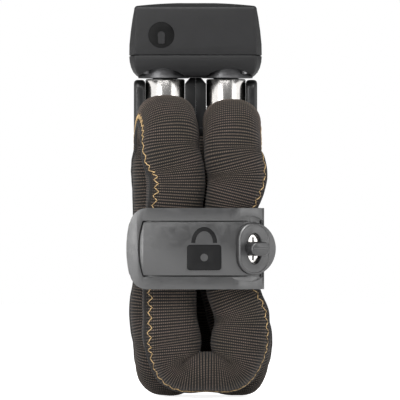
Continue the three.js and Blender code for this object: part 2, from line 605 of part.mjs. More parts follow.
// ---------- quarter-turn fastener ----------
function turnBase() {
  const room = LID_BACK - 2 * GAP - TOE_THICKNESS;
  const cup = cut(
    post(0, 0, room - 0.5, LID_BACK - 0.05, CUP_RADIUS, 24),
    post(0, 0, room, LID_BACK + 1, CUP_ROOM_RADIUS, 24),
  );
  add('turn_base_cup', acrossTurn(cup), 'dark_steel');
  const lid = prism(stadium(LID_HEIGHT, LID_WIDTH), LID_BACK + 0.1, LID_BACK + LID_THICKNESS, 4);
  const slotSlack = 1.4;
  const slot = block(-slotSlack / 2, 0, LID_BACK - 1, TOE_WIDTH + slotSlack + 0.6, TOE_LENGTH + 0.6, 4);
  add('receiver_plate', acrossTurn(cut(lid, slot)), 'dark_steel');
}

function turnPlate() {
  const front = GAP + TURN_PLATE_THICKNESS;
  const plate = prism(stadium(TURN_PLATE_HEIGHT, TURN_PLATE_WIDTH), GAP, front, 5);
  const hole = new THREE.CylinderGeometry(1, 1, 10, 24)
    .rotateX(Math.PI / 2).scale(TURN_HOLE_WIDTH / 2, TURN_HOLE_HEIGHT / 2, 1);
  const seat = post(0, 0, GAP - 1, GAP + TURN_DISC_THICKNESS + GAP, TURN_DISC_RADIUS + GAP, 24);
  add('turn_plate', acrossTurn(cut(plate, hole, seat)), 'fastener');
  const disc = post(0, 0, GAP, GAP + TURN_DISC_THICKNESS, TURN_DISC_RADIUS, 24);
  add('turn_disc', acrossTurn(cut(disc, post(0, 0, -3, 3, SHAFT_RADIUS + GAP, 16))), 'polished');
}

function turnKnob() {
  const knobBack = 2 * GAP + TURN_PLATE_THICKNESS;
  const toeFront = LID_BACK - GAP;
  const grip = prism(stadium(KNOB_WIDTH, KNOB_HEIGHT), knobBack, knobBack + KNOB_LENGTH, 4)
    .rotateZ(Math.PI / 2);
  const shaft = post(0, 0, toeFront + GAP, knobBack + 1, SHAFT_RADIUS, 16);
  add('turn_knob', acrossTurn(join(grip, shaft)), 'fastener');
  const toe = block(0, 0, toeFront - TOE_THICKNESS, TOE_WIDTH, TOE_LENGTH, TOE_THICKNESS);
  add('turn_toe', acrossTurn(toe), 'hardened');
}

buildChain();
buildSleeve();
buildBarrels();
buildHead();
buildStrap();
turnBase();
turnPlate();
turnKnob();

lock.position.set(0, -(STRAP_INNER_Y + STRAP_SHEET), -STRAP_CENTRE_Z);

export default lock;
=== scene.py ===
import json
import math
from collections import namedtuple

import bmesh
import bpy
import numpy as np
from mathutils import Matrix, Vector, noise


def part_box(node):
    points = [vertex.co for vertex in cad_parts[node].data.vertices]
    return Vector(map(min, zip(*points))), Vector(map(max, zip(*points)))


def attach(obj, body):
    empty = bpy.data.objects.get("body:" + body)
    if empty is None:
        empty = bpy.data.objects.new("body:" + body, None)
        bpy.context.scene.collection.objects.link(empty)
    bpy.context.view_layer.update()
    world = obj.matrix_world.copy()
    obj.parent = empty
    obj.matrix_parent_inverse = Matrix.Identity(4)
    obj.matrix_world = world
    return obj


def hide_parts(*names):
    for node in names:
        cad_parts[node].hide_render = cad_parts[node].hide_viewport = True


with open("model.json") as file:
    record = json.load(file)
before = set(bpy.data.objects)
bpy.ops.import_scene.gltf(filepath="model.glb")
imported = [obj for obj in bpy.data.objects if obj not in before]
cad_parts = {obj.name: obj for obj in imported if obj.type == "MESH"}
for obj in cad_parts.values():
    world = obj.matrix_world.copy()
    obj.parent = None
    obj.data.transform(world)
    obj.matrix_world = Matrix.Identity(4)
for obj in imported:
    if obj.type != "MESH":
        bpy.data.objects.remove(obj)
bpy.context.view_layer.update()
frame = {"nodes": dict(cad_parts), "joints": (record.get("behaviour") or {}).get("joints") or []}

# Everything below is in millimetres from the floor under the middle of the folded bundle:
# x to the right, y to the back, z up. spot() turns such a place into metres of the frame.
MM = 0.001
sleeve_low, sleeve_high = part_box("chain_sleeve")
FLOOR = sleeve_low.z
MIDDLE_Y = (sleeve_low.y + sleeve_high.y) / 2


def spot(x, y, z):
    return Vector((x * MM, MIDDLE_Y + y * MM, FLOOR + z * MM))


Box = namedtuple("Box", "x0 y0 z0 x1 y1 z1")


def box_of(node):
    """A CAD node's box in millimetres of the bundle."""
    low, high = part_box(node)
    return Box(*[v for p in (low, high) for v in (p.x / MM, (p.y - MIDDLE_Y) / MM, (p.z - FLOOR) / MM)])


# ---------- meshes ----------
def new_piece(name, points, faces, smooth_angle=35):
    """A mesh object from points in metres of the frame."""
    mesh = bpy.data.meshes.new(name)
    mesh.from_pydata([tuple(p) for p in points], [], faces)
    piece = bpy.data.objects.new(name, mesh)
    bpy.context.scene.collection.objects.link(piece)
    tidy_normals(piece, smooth_angle)
    return piece


def tidy_normals(piece, smooth_angle):
    bm = bmesh.new()
    bm.from_mesh(piece.data)
    bmesh.ops.recalc_face_normals(bm, faces=bm.faces)
    bm.to_mesh(piece.data)
    bm.free()
    piece.data.shade_smooth()
    piece.data.set_sharp_from_angle(angle=math.radians(smooth_angle))


def loft(name, rings, loop=False, smooth_angle=35):
    """A skin over rings of equally many points, with flat ends, or joined end to start for a loop."""
    count = len(rings[0])
    faces = []
    spans = len(rings) if loop else len(rings) - 1
    for i in range(spans):
        a = i * count
        b = (i + 1) % len(rings) * count
        for j in range(count):
            k = (j + 1) % count
            faces.append((a + j, a + k, b + k, b + j))
    if not loop:
        faces.append(tuple(reversed(range(count))))
        faces.append(tuple(range((len(rings) - 1) * count, len(rings) * count)))
    return new_piece(name, [p for ring in rings for p in ring], faces, smooth_angle)


def arc(cx, cy, radius, start, end, steps):
    """Points of an arc, angles in degrees, with both ends."""
    angles = [math.radians(start + (end - start) * i / steps) for i in range(steps + 1)]
    return [(cx + radius * math.cos(a), cy + radius * math.sin(a)) for a in angles]


def rounded_rect(width, height, radius, steps=6):
    hx, hy = width / 2 - radius, height / 2 - radius
    outline = []
    for sx, sy, start in ((1, 1, 0), (-1, 1, 90), (-1, -1, 180), (1, -1, 270)):
        outline += arc(sx * hx, sy * hy, radius, start, start + 90, steps)
    return outline


def stadium(length, width, steps=18):
    """Long axis along the second coordinate."""
    half = (length - width) / 2
    return arc(0, half, width / 2, 0, 180, steps) + arc(0, -half, width / 2, 180, 360, steps)


def by_angle(radius_at, count):
    """An outline from its radius at each angle."""
    angles = [2 * math.pi * i / count for i in range(count)]
    return [(radius_at(a) * math.cos(a), radius_at(a) * math.sin(a)) for a in angles]


def circle(radius, count):
    return by_angle(lambda angle: radius, count)


def inset(outline, amount):
    """The outline moved inwards by an amount, for small amounts."""
    moved = []
    count = len(outline)
    for i, (x, y) in enumerate(outline):
        x0, y0 = outline[i - 1]
        x1, y1 = outline[(i + 1) % count]
        if (x0, y0) == (x, y):
            x0, y0 = outline[i - 2]
        if (x1, y1) == (x, y):
            x1, y1 = outline[(i + 2) % count]
        length = math.hypot(x1 - x0, y1 - y0) or 1
        moved.append((x - (y1 - y0) / length * amount, y + (x1 - x0) / length * amount))
    return moved


def edge_steps(low, high, edge, steps=3):
    """(inset, height) pairs up a wall with a rounded edge at each end."""
    angles = [math.pi / 2 * i / steps for i in range(steps + 1)]
    lower = [(edge * (1 - math.sin(a)), low + edge * (1 - math.cos(a))) for a in angles]
    upper = [(edge * (1 - math.cos(a)), high - edge * (1 - math.sin(a))) for a in angles]
    return lower + upper


SHARP = 0.01                      # the edge of a cutting tool


def ring_stack(outline, steps, place):
    """The outline at each (inset, height) pair. place(u, v, height) gives a point of the frame."""
    return [[place(u, v, height) for u, v in inset(outline, amount)] for amount, height in steps]


def slab(name, outline, low, high, edge, place):
    """A plate with rounded edges."""
    return loft(name, ring_stack(outline, edge_steps(low, high, edge), place))


def rod(radius, low, high, place, sides=40):
    """A plain round tool for cutting."""
    return slab("rod", circle(radius, sides), low, high, SHARP, place)


def holed_slab(name, outline, hole, low, high, edge, place):
    """The same with a hole whose outline has as many points."""
    steps = edge_steps(low, high, edge)
    inner_steps = [(-amount, height) for amount, height in reversed(steps)]
    rings = ring_stack(outline, steps, place) + ring_stack(hole, inner_steps, place)
    return loft(name, rings, loop=True)


def upright(x, y):
    """A place() for outlines that lie flat, around an upright axis."""
    return lambda u, v, height: spot(x + u, y + v, height)


def sideways(x, y, z):
    """A place() for outlines seen from the side, with their height along x."""
    return lambda u, v, height: spot(x + height, y + u, z + v)


def facing_front(x, y, z):
    """A place() for outlines seen from the front, with their height towards the viewer."""
    return lambda u, v, height: spot(x + u, y - height, z + v)


def turned(name, profile, x, y, sides=72, squeeze=1.0, loop=False):
    """A round piece about an upright axis. profile holds (radius, height) pairs."""
    rings = []
    for radius, z in profile:
        rings.append([spot(x + u * squeeze, y + v, z) for u, v in circle(radius, sides)])
    return loft(name, rings, loop=loop, smooth_angle=30)


def tube(name, points, radius, sides=6):
    """A round thread through points in metres; radius in millimetres."""
    rings = []
    for i, point in enumerate(points):
        ahead = (points[min(i + 1, len(points) - 1)] - points[max(i - 1, 0)]).normalized()
        side = ahead.orthogonal().normalized()
        other = ahead.cross(side)
        rings.append([point + (side * u + other * v) * MM for u, v in circle(radius, sides)])
    return loft(name, rings, smooth_angle=80)


def bake_modifiers(piece, smooth_angle=35):
    """Replaces the mesh by what its modifiers make of it."""
    graph = bpy.context.evaluated_depsgraph_get()
    made = bpy.data.meshes.new_from_object(piece.evaluated_get(graph))
    piece.modifiers.clear()
    old = piece.data
    piece.data = made
    bpy.data.meshes.remove(old)
    tidy_normals(piece, smooth_angle)


def combine(piece, others, how):
    """Cuts the others out of a piece, joins them to it, or keeps what they share."""
    for other in others:
        step = piece.modifiers.new("combine", "BOOLEAN")
        step.operation = how
        step.solver = "EXACT"
        step.object = other
        bake_modifiers(piece)
        bpy.data.objects.remove(other)
    return piece


def carve(piece, *tools):
    return combine(piece, tools, "DIFFERENCE")


def weld(piece, *others):
    return combine(piece, others, "UNION")


def soften(piece, width, segments=2, limit=40):
    """Rounds the sharp edges."""
    step = piece.modifiers.new("soften", "BEVEL")
    step.width = width * MM
    step.segments = segments
    step.limit_method = "ANGLE"
    step.angle_limit = math.radians(limit)
    step.use_clamp_overlap = True
    bake_modifiers(piece)
    return piece


def block(name, x0, y0, z0, x1, y1, z1):
    corners = [(x0, y0), (x1, y0), (x1, y1), (x0, y1)]
    return loft(name, [[spot(x, y, z) for x, y in corners] for z in (z0, z1)])


def stand_for(piece, look, body, *nodes):
    """Gives a finished piece its material and body, and hides the CAD nodes that it stands for."""
    piece.data.materials.clear()
    piece.data.materials.append(LOOKS[look])
    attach(piece, body)
    if nodes:
        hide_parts(*nodes)
    return piece


# ---------- materials ----------
def shade(red, green, blue):
    """A display colour, 0 to 255, as the linear colour that shaders take."""
    return tuple(((c / 255 + 0.055) / 1.055) ** 2.4 for c in (red, green, blue)) + (1.0,)


def node(tree, kind, settings=None, **values):
    """A shader node with its settings and socket values."""
    made = tree.nodes.new(kind)
    for key, value in (settings or {}).items():
        setattr(made, key, value)
    for key, value in values.items():
        socket = made.inputs[int(key[1:])] if key[0] == "i" and key[1:].isdigit() else made.inputs[key]
        if isinstance(value, bpy.types.NodeSocket):
            tree.links.new(value, socket)
        else:
            socket.default_value = value
    return made


def new_look(name, colour, roughness, metallic=0.0, **extra):
    look = bpy.data.materials.new(name)
    look.use_nodes = True
    shader = look.node_tree.nodes["Principled BSDF"]
    values = {"Base Color": colour, "Roughness": roughness, "Metallic": metallic, **extra}
    for key, value in values.items():
        shader.inputs[key].default_value = value
    return look, look.node_tree, shader


def maths(tree, how, *values):
    made = node(tree, "ShaderNodeMath", {"operation": how}, **{f"i{i}": v for i, v in enumerate(values)})
    return made.outputs[0]


def place_of(tree, stretch=(1, 1, 1)):
    """Object coordinates in millimetres, scaled along each axis for grain that has a direction."""
    where = node(tree, "ShaderNodeTexCoord").outputs["Object"]
    scale = [s / MM for s in stretch]
    scaled = node(tree, "ShaderNodeVectorMath", {"operation": "MULTIPLY"}, i0=where, i1=scale)
    return scaled.outputs[0]


def grain(tree, where, scale, detail=4.0, rough=0.6):
    made = node(tree, "ShaderNodeTexNoise", Vector=where, Scale=scale, Detail=detail, Roughness=rough)
    return made.outputs["Fac"]


def spread(tree, value, low, high, start=0.3, end=0.7):
    """Maps a value between start and end to the range low to high."""
    made = node(tree, "ShaderNodeMapRange", i0=value, i1=start, i2=end, i3=low, i4=high)
    return made.outputs[0]


def tint(tree, factor, first, second):
    made = node(tree, "ShaderNodeMix", {"data_type": "RGBA"}, i0=factor, i6=first, i7=second)
    return made.outputs[2]


def relief(tree, shader, height, depth, strength=1.0):
    """Bump of a depth in millimetres."""
    made = node(tree, "ShaderNodeBump", Height=height, Distance=depth * MM, Strength=strength)
    tree.links.new(made.outputs[0], shader.inputs["Normal"])


def moulded(name, dark, light, roughness, fine=3.2, depth=0.05, gleam=0.5):
    """Moulded plastic or rubber: fine spark-eroded grain, faint blotches and uneven gloss."""
    look, tree, shader = new_look(name, dark, roughness)
    shader.inputs["Specular IOR Level"].default_value = gleam
    where = place_of(tree)
    blotch = grain(tree, where, 0.09)
    fine_grain = grain(tree, where, fine, 3.0, 0.7)
    tree.links.new(tint(tree, spread(tree, blotch, 0, 1), dark, light), shader.inputs["Base Color"])
    gloss = spread(tree, grain(tree, where, 0.35), roughness - 0.06, roughness + 0.06)
    tree.links.new(gloss, shader.inputs["Roughness"])
    relief(tree, shader, fine_grain, depth)
    return look


def machined(name, colour, other, roughness, stretch, fine=1.5, depth=0.01):
    """Metal with tool marks that run along one direction."""
    look, tree, shader = new_look(name, colour, roughness, 1.0)
    marks = grain(tree, place_of(tree, stretch), fine, 5.0, 0.65)
    smear = grain(tree, place_of(tree), 0.12)
    tree.links.new(tint(tree, spread(tree, smear, 0, 1), colour, other), shader.inputs["Base Color"])
    tree.links.new(spread(tree, marks, roughness * 0.75, roughness * 1.3), shader.inputs["Roughness"])
    relief(tree, shader, marks, depth)
    return look


RIB = 1.65                        # pitch of the knitted ribs along the sleeve
WALE = 1.05                       # pitch of the stitches around it


def knitted():
    """Ribbed knit. The map runs around the sleeve in stitches (u) and along it in ribs (v)."""
    # The crest colour is a painted highlight on the lit tops of the ribs, and the near-black valley colour
    # is painted shade in the hollows between ribs and stitches.
    lit_crest, shaded_valley = shade(112, 96, 87), shade(3, 3, 3)
    look, tree, shader = new_look("knitted_fabric", shade(46, 38, 34), 0.86)
    shader.inputs["Sheen Weight"].default_value = 0.05
    shader.inputs["Sheen Roughness"].default_value = 0.45
    shader.inputs["Specular IOR Level"].default_value = 0.25
    where = node(tree, "ShaderNodeUVMap", {"uv_map": "knit"}).outputs[0]
    parts = node(tree, "ShaderNodeSeparateXYZ", i0=where)
    turn = 2 * math.pi
    rib = maths(tree, "COSINE", maths(tree, "MULTIPLY", parts.outputs[1], turn))
    wale = maths(tree, "COSINE", maths(tree, "MULTIPLY", parts.outputs[0], turn))
    rib_share = spread(tree, rib, 0, 1, -0.25, 1.0)
    wale_share = spread(tree, wale, 0.12, 1, -0.6, 0.8)
    stitch = maths(tree, "MULTIPLY", rib_share, wale_share)
    fluff = grain(tree, place_of(tree), 2.2, 3.0, 0.8)
    patch = grain(tree, place_of(tree), 0.07, 2.0)
    # The stitch pattern, broken up by fluff, is both the bump and the mask that mixes the painted shade of
    # the valleys with the painted highlight of the crests.
    uneven = maths(tree, "MULTIPLY", stitch, spread(tree, fluff, 0.35, 1.25))
    lip = node(tree, "ShaderNodeAttribute", {"attribute_name": "plain"}).outputs["Fac"]
    # The painted highlight of the crests takes random patches of two yarn tones.
    lit_yarn = tint(tree, spread(tree, patch, 0, 1), lit_crest, shade(98, 86, 73))
    ribbed = tint(tree, uneven, shaded_valley, lit_yarn)
    plain = tint(tree, spread(tree, fluff, 0, 1), shade(14, 13, 13), shade(32, 30, 29))
    tree.links.new(tint(tree, lip, ribbed, plain), shader.inputs["Base Color"])
    relief(tree, shader, uneven, 0.22)
    return look


def stitched(name, dark, light):
    look, tree, shader = new_look(name, dark, 0.6)
    twist = grain(tree, place_of(tree), 2.0, 3.0)
    tree.links.new(tint(tree, spread(tree, twist, 0, 1), dark, light), shader.inputs["Base Color"])
    relief(tree, shader, twist, 0.1)
    return look


LOOKS = {
    "casing": moulded("moulded_casing", shade(12, 12, 13), shade(17, 17, 18), 0.54, 2.6, 0.05, 0.3),
    "emblem": moulded("emblem_floor", shade(3, 3, 3), shade(6, 6, 6), 0.4, 4.0, 0.02, 0.15),
    "yoke": moulded("moulded_yoke", shade(12, 12, 13), shade(19, 19, 20), 0.36, 3.0, 0.03, 0.4),
    "strap": moulded("strap_rubber", shade(20, 20, 21), shade(25, 25, 26), 0.36, 4.5, 0.02, 1.0),
    "panel_mark": moulded("mark_floor", shade(5, 5, 6), shade(9, 9, 10), 0.45, 4.0, 0.02, 0.2),
    "fastener": moulded("fastener_nylon", shade(13, 13, 14), shade(19, 19, 20), 0.38, 3.5, 0.025, 0.9),
    "seal": moulded("rubber_seal", shade(14, 14, 14), shade(24, 24, 24), 0.7, 2.0, 0.03),
    "polished": machined(
        "polished_steel", (0.64, 0.62, 0.6, 1), (0.55, 0.535, 0.52, 1), 0.2, (6, 6, 0.25), 1.5, 0.0004
    ),
    "dark_steel": machined("dark_steel", (0.12, 0.12, 0.124, 1), (0.17, 0.17, 0.174, 1), 0.42, (1, 1, 6)),
    "hardened": machined(
        "hardened_steel", (0.32, 0.32, 0.33, 1), (0.22, 0.22, 0.23, 1), 0.34, (1, 1, 3), 1.0, 0.03
    ),
    "brass": machined("brass", (0.62, 0.42, 0.17, 1), (0.5, 0.33, 0.13, 1), 0.3, (4, 4, 0.5)),
    "fabric": knitted(),
    "thread": stitched("tan_thread", shade(138, 112, 74), shade(198, 168, 118)),
}

# Every CAD node that stays takes the detailed version of its own material.
STAYING = {
    "brass": ["cylinder_housing", "key_plug"],
    "seal": ["pin_seal_left", "pin_seal_right"],
    "dark_steel": ["turn_base_cup", "receiver_plate"] + [f"skirt_screw_{i}" for i in (1, 2, 3, 4)],
    "hardened": ["lock_body", "lock_cam", "locking_bolt_left", "locking_bolt_right", "turn_toe"]
    + [f"{kind}_{side}" for kind in ("yoke_pin", "chain_eye") for side in ("left", "right")],
}
for look_name, node_names in STAYING.items():
    for node_name in node_names:
        for slot_place in frame["nodes"][node_name].material_slots:
            slot_place.material = LOOKS[look_name]


# ---------- sleeve ----------
# The route of the sleeve's middle line: place, width across the bundle, depth,
# the way to the inner side (degrees from +x towards +z), and where the seam sits, in degrees
# round from the outer side towards the front.
Stop = namedtuple("Stop", "x y z width depth inward seam")
LAYER = 30                        # from one layer to the next, front to back
FOLD_UP = 131.2                   # where the upper folds begin
FOLD_DOWN = 29.6                  # where the lower folds begin
LEFT_BACK = [
    Stop(-16.0, LAYER, 139.4, 30.8, 28.8, 0, 26),
    Stop(-16.2, LAYER, 122, 31.4, 29, 0, 26),
    Stop(-17.0, LAYER, 78, 29.6, 28.6, 0, 26),
    Stop(-15.0, LAYER, 50, 31.0, 29, 0, 24),
    Stop(-12.6, LAYER, FOLD_DOWN, 29.8, 28.6, 0, 22),
]
LEFT_MIDDLE = [
    Stop(-17.4, 0, FOLD_DOWN, 30.0, 28.6, 0, 22),
    Stop(-19.4, 0, 44, 30.4, 29, 0, 20),
    Stop(-17.6, 0, 60, 29.6, 28.6, 0, 20),
    Stop(-17.2, 0, 79, 29.0, 28.4, 0, 20),
    Stop(-17.4, 0, 98, 29.6, 28.8, 0, 20),
    Stop(-18.6, 0, 120, 29.6, 29, 0, 24),
    Stop(-18.4, 0, FOLD_UP, 28.6, 28.4, 0, -8),
]
LEFT_FRONT = [
    Stop(-13.0, -LAYER, FOLD_UP, 30.0, 28.8, 0, 22),
    Stop(-10.8, -LAYER, 120, 31.2, 29, 0, 50),
    Stop(-11.2, -LAYER, 99, 29.8, 28.4, 0, 50),
    Stop(-13.4, -LAYER, 79, 29.0, 27.8, 0, 50),
    Stop(-13.8, -LAYER, 58, 28.4, 28.4, 0, 50),
    Stop(-13.4, -LAYER, 42, 28.8, 29, 0, 48),
    Stop(-12.0, -LAYER, 29, 30.2, 29.2, 6, 42),
    Stop(-9.4, -LAYER, 16.8, 23.4, 29.6, 42, 24),
]
LOOP_MIDDLE = [Stop(5.2, -LAYER, 14.4, 20.4, 29.8, 90, 10)]
RIGHT_FRONT = [
    Stop(20.0, -LAYER, 16.8, 23.4, 29.6, 138, 12),
    Stop(23.0, -LAYER, 29, 30.0, 29.2, 174, 18),
    Stop(24.0, -LAYER, 42, 28.4, 29, 180, 28),
    Stop(18.8, -LAYER, 59, 26.8, 28.4, 180, 40),
    Stop(18.4, -LAYER, 79, 26.8, 27.8, 180, 42),
    Stop(18.4, -LAYER, 99, 27.2, 28.4, 180, 38),
    Stop(21.8, -LAYER, 118, 31.0, 29, 180, 20),
    Stop(19.6, -LAYER, FOLD_UP - 2.4, 30.4, 28.8, 180, -4),
]
RIGHT_MIDDLE = [
    Stop(18.8, 0, FOLD_UP - 2.4, 29.8, 28.4, 180, -4),
    Stop(17.2, 0, 116, 30.8, 29, 180, 14),
    Stop(16.4, 0, 79, 29.6, 28.4, 180, 18),
    Stop(16.8, 0, 61, 29.4, 28.4, 180, 18),
    Stop(20.4, 0, 48, 30.8, 28.8, 180, 20),
    Stop(24.6, 0, FOLD_DOWN, 30.4, 28.6, 180, 20),
]
RIGHT_BACK = [
    Stop(17.2, LAYER, FOLD_DOWN, 29.8, 28.6, 180, 22),
    Stop(15.8, LAYER, 50, 31.4, 29, 180, 24),
    Stop(15.8, LAYER, 78, 30.4, 28.6, 180, 26),
    Stop(16.0, LAYER, 122, 31.4, 29, 180, 26),
    Stop(16.0, LAYER, 139.4, 30.8, 28.8, 180, 26),
]


def fold(start, end, way, reach, steps=6):
    """The half turn between two layers; way is 1 over the top and -1 under the bottom."""
    turn = []
    for i in range(1, steps):
        share = i / steps
        ease = (1 - math.cos(math.pi * share)) / 2
        between = [a + (b - a) * ease for a, b in zip(start, end)]
        between[2] += way * reach * math.sin(math.pi * share)
        turn.append(Stop(*between))
    return turn


UPPER_REACH = 14.6                # how far a fold's middle line swings past its two layers
LOWER_REACH = 15.0
ROUTE = (
    LEFT_BACK + fold(LEFT_BACK[-1], LEFT_MIDDLE[0], -1, LOWER_REACH) + LEFT_MIDDLE
    + fold(LEFT_MIDDLE[-1], LEFT_FRONT[0], 1, UPPER_REACH) + LEFT_FRONT
    + LOOP_MIDDLE
    + RIGHT_FRONT + fold(RIGHT_FRONT[-1], RIGHT_MIDDLE[0], 1, UPPER_REACH) + RIGHT_MIDDLE
    + fold(RIGHT_MIDDLE[-1], RIGHT_BACK[0], -1, LOWER_REACH) + RIGHT_BACK
)


ROUTE_STEP = 0.1
BLUR_STEPS = 41                   # over how many route steps the bending is evened out


def smooth_route(stops, step):
    """Evenly spaced rows along a smooth curve through the stops."""
    rows = np.array(stops, float)
    gaps = np.linalg.norm(np.diff(rows[:, :3], axis=0), axis=1)
    at = np.concatenate([[0], np.cumsum(gaps)])
    slope = np.gradient(rows, at, axis=0)
    dense_at = np.arange(0, at[-1], ROUTE_STEP)
    piece = np.clip(np.searchsorted(at, dense_at, side="right") - 1, 0, len(gaps) - 1)
    gap = gaps[piece][:, None]
    t = ((dense_at - at[piece]) / gaps[piece])[:, None]
    dense = (
        (2 * t**3 - 3 * t**2 + 1) * rows[piece]
        + (t**3 - 2 * t**2 + t) * gap * slope[piece]
        + (3 * t**2 - 2 * t**3) * rows[piece + 1]
        + (t**3 - t**2) * gap * slope[piece + 1]
    )
    # ribs keep their spacing on the outer side of a bend and crowd on its inner side
    steps_taken = np.linalg.norm(np.diff(dense[:, :3], axis=0), axis=1)
    heading = np.diff(dense[:, :3], axis=0) / steps_taken[:, None]
    turning = np.linalg.norm(np.diff(heading, axis=0), axis=1)
    blur = np.ones(BLUR_STEPS) / BLUR_STEPS
    turning = np.convolve(np.append(turning, 0), blur, mode="same")
    stretched = steps_taken + turning * OUTER_REACH
    run = np.concatenate([[0], np.cumsum(stretched)])
    even = np.arange(0, run[-1], step)
    return np.stack([np.interp(even, run, dense[:, i]) for i in range(rows.shape[1])], axis=1), even


OUTER_REACH = 12.5                # from the middle line to where the ribs keep their spacing
RING_STEP = RIB / 3
rows, run_mm = smooth_route(ROUTE, RING_STEP)
middle = rows[:, :3]
ahead = np.gradient(middle, axis=0)
ahead /= np.linalg.norm(ahead, axis=1)[:, None]
tilt = np.radians(rows[:, 5])
inner = np.stack([np.cos(tilt), np.zeros_like(tilt), np.sin(tilt)], axis=1)
inner -= ahead * np.sum(inner * ahead, axis=1)[:, None]
inner /= np.linalg.norm(inner, axis=1)[:, None]
across = np.cross(ahead, inner)

SECTION_POWER = 2.5
SECTION_ROUND = 96                # length around the sleeve's usual section
dense_angle = np.linspace(0, 2 * math.pi, 361)
section_u = np.sign(np.cos(dense_angle)) * np.abs(np.cos(dense_angle)) ** (2 / SECTION_POWER)
section_v = np.sign(np.sin(dense_angle)) * np.abs(np.sin(dense_angle)) ** (2 / SECTION_POWER)


def section_at(i, offsets):
    """Places on ring i at distances around the sleeve from its seam, and the outward ways there."""
    u = section_u * rows[i, 3] / 2
    v = section_v * rows[i, 4] / 2
    length = np.concatenate([[0], np.cumsum(np.hypot(np.diff(u), np.diff(v)))])
    seam_at = np.interp(math.pi - math.radians(rows[i, 6]), dense_angle, length)
    # offsets grow from the seam towards the back of its side
    wanted = (seam_at + np.asarray(offsets) / SECTION_ROUND * length[-1]) % length[-1]
    pu, pv = np.interp(wanted, length, u), np.interp(wanted, length, v)
    power = SECTION_POWER - 1
    nu = np.sign(pu) * np.abs(pu / rows[i, 3] * 2) ** power / rows[i, 3]
    nv = np.sign(pv) * np.abs(pv / rows[i, 4] * 2) ** power / rows[i, 4]
    size = np.hypot(nu, nv)
    nu, nv = nu / size, nv / size
    places = middle[i] + pu[:, None] * inner[i] + pv[:, None] * across[i]
    outward = nu[:, None] * inner[i] + nv[:, None] * across[i]
    return places, outward


LIP_AT = 3.9                      # middle of the plain binding, from the middle of the zigzag
LIP_HALF = 2.0
LIP_HEIGHT = 1.0
RIB_DEPTH = 0.17
WRINKLE = 0.55
SLOW_SWELL = 13
SMALL_CREASE = 5
CREASE_SHARE = 0.35
SEAM_BEFORE, SEAM_AFTER = 2.4, 7.4    # the finely divided strip around the seam
FINE_STEP = 0.65
COARSE_STEP = 1.6
COARSE_COUNT = 44
fine = np.arange(-SEAM_BEFORE, SEAM_AFTER, FINE_STEP)
coarse_end = SECTION_ROUND - SEAM_BEFORE - COARSE_STEP
coarse = np.linspace(SEAM_AFTER + COARSE_STEP, coarse_end, COARSE_COUNT)
offsets = np.concatenate([fine, coarse])
lip_share = np.clip(1 - np.abs(offsets - LIP_AT) / LIP_HALF, 0, 1) ** 0.5
plain_share = np.clip(1.5 - np.abs(offsets - LIP_AT) / LIP_HALF, 0, 1)


def wrinkle(point):
    """Slow swells and small creases of the loose knit."""
    slow = noise.noise(Vector(point) / SLOW_SWELL)
    small = noise.noise(Vector(point) / SMALL_CREASE + Vector((7, 3, 1)))
    return WRINKLE * (slow + CREASE_SHARE * small)


def sleeve_ring(i):
    places, outward = section_at(i, offsets)
    rib = math.cos(2 * math.pi * run_mm[i] / RIB)
    lift = RIB_DEPTH * rib * (1 - plain_share) + LIP_HEIGHT * lip_share
    lift = lift + np.array([wrinkle(p) for p in places])
    return places + outward * lift[:, None]


# the hem's rings: size as a share of the sleeve's, and distance inwards along it
HEM = ((0.97, 0.0), (0.9, 0.0), (0.88, 3.0))


def build_sleeve():
    rings = [sleeve_ring(i) for i in range(len(rows))]
    # both ends turn in, as a hem
    for index, grow in ((0, 1), (-1, -1)):
        core = rings[index].mean(axis=0)
        hem = []
        for share, drop in HEM:
            hem.append(core + (rings[index] - core) * share + ahead[index] * grow * drop)
        rings = hem[::-1] + rings if index == 0 else rings + hem
    count = len(offsets)
    points = [spot(*p) for ring in rings for p in ring]
    faces = []
    for i in range(len(rings) - 1):
        for j in range(count):
            k = (j + 1) % count
            faces.append((i * count + j, i * count + k, (i + 1) * count + k, (i + 1) * count + j))
    sleeve = new_piece("knitted_sleeve", points, faces, 180)
    around = np.concatenate([offsets, [offsets[0] + SECTION_ROUND]]) / WALE
    layer = sleeve.data.uv_layers.new(name="knit")
    along = (np.arange(len(rings)) - len(HEM)) * RING_STEP / RIB
    plain = sleeve.data.attributes.new("plain", "FLOAT", "POINT")
    plain.data.foreach_set("value", np.tile(plain_share, len(rings)).astype(np.float32))
    for face in sleeve.data.polygons:
        wraps = {v % count for v in face.vertices} == {0, count - 1}
        for corner, vertex in zip(face.loop_indices, face.vertices):
            j = vertex % count
            j = count if wraps and j == 0 else j
            layer.data[corner].uv = (around[j], along[vertex // count])
    stand_for(sleeve, "fabric", "bundle", "chain_sleeve")
    return sleeve


def build_zigzag():
    """Contrast thread that holds the binding down, back and forth over its edge."""
    pitch = 5.3
    swing = 1.55
    thread_radius = 0.24
    end_gap = 8
    lift = RIB_DEPTH + 0.1
    points = []
    first, last = end_gap, run_mm[-1] - end_gap
    legs = int((last - first) / (pitch / 2))
    for leg in range(legs):
        for part in range(4):
            at = first + (leg + part / 4) * pitch / 2
            i = int(round(at / RING_STEP))
            side = 1 - 2 * (leg % 2)
            offset = swing * side * (1 - 2 * part / 4)
            places, outward = section_at(i, [offset])
            place = places[0] + outward[0] * (lift + wrinkle(places[0]))
            points.append(spot(*place))
    thread = tube("zigzag_thread", points, thread_radius, 5)
    stand_for(thread, "thread", "bundle")
    return thread


build_sleeve()
build_zigzag()


# ---------- chain inside the sleeve ----------
BAR = 7.5                         # side of a link's square bar
BAR_ROUND = 1.4
LINK_WIDTH = 25.4


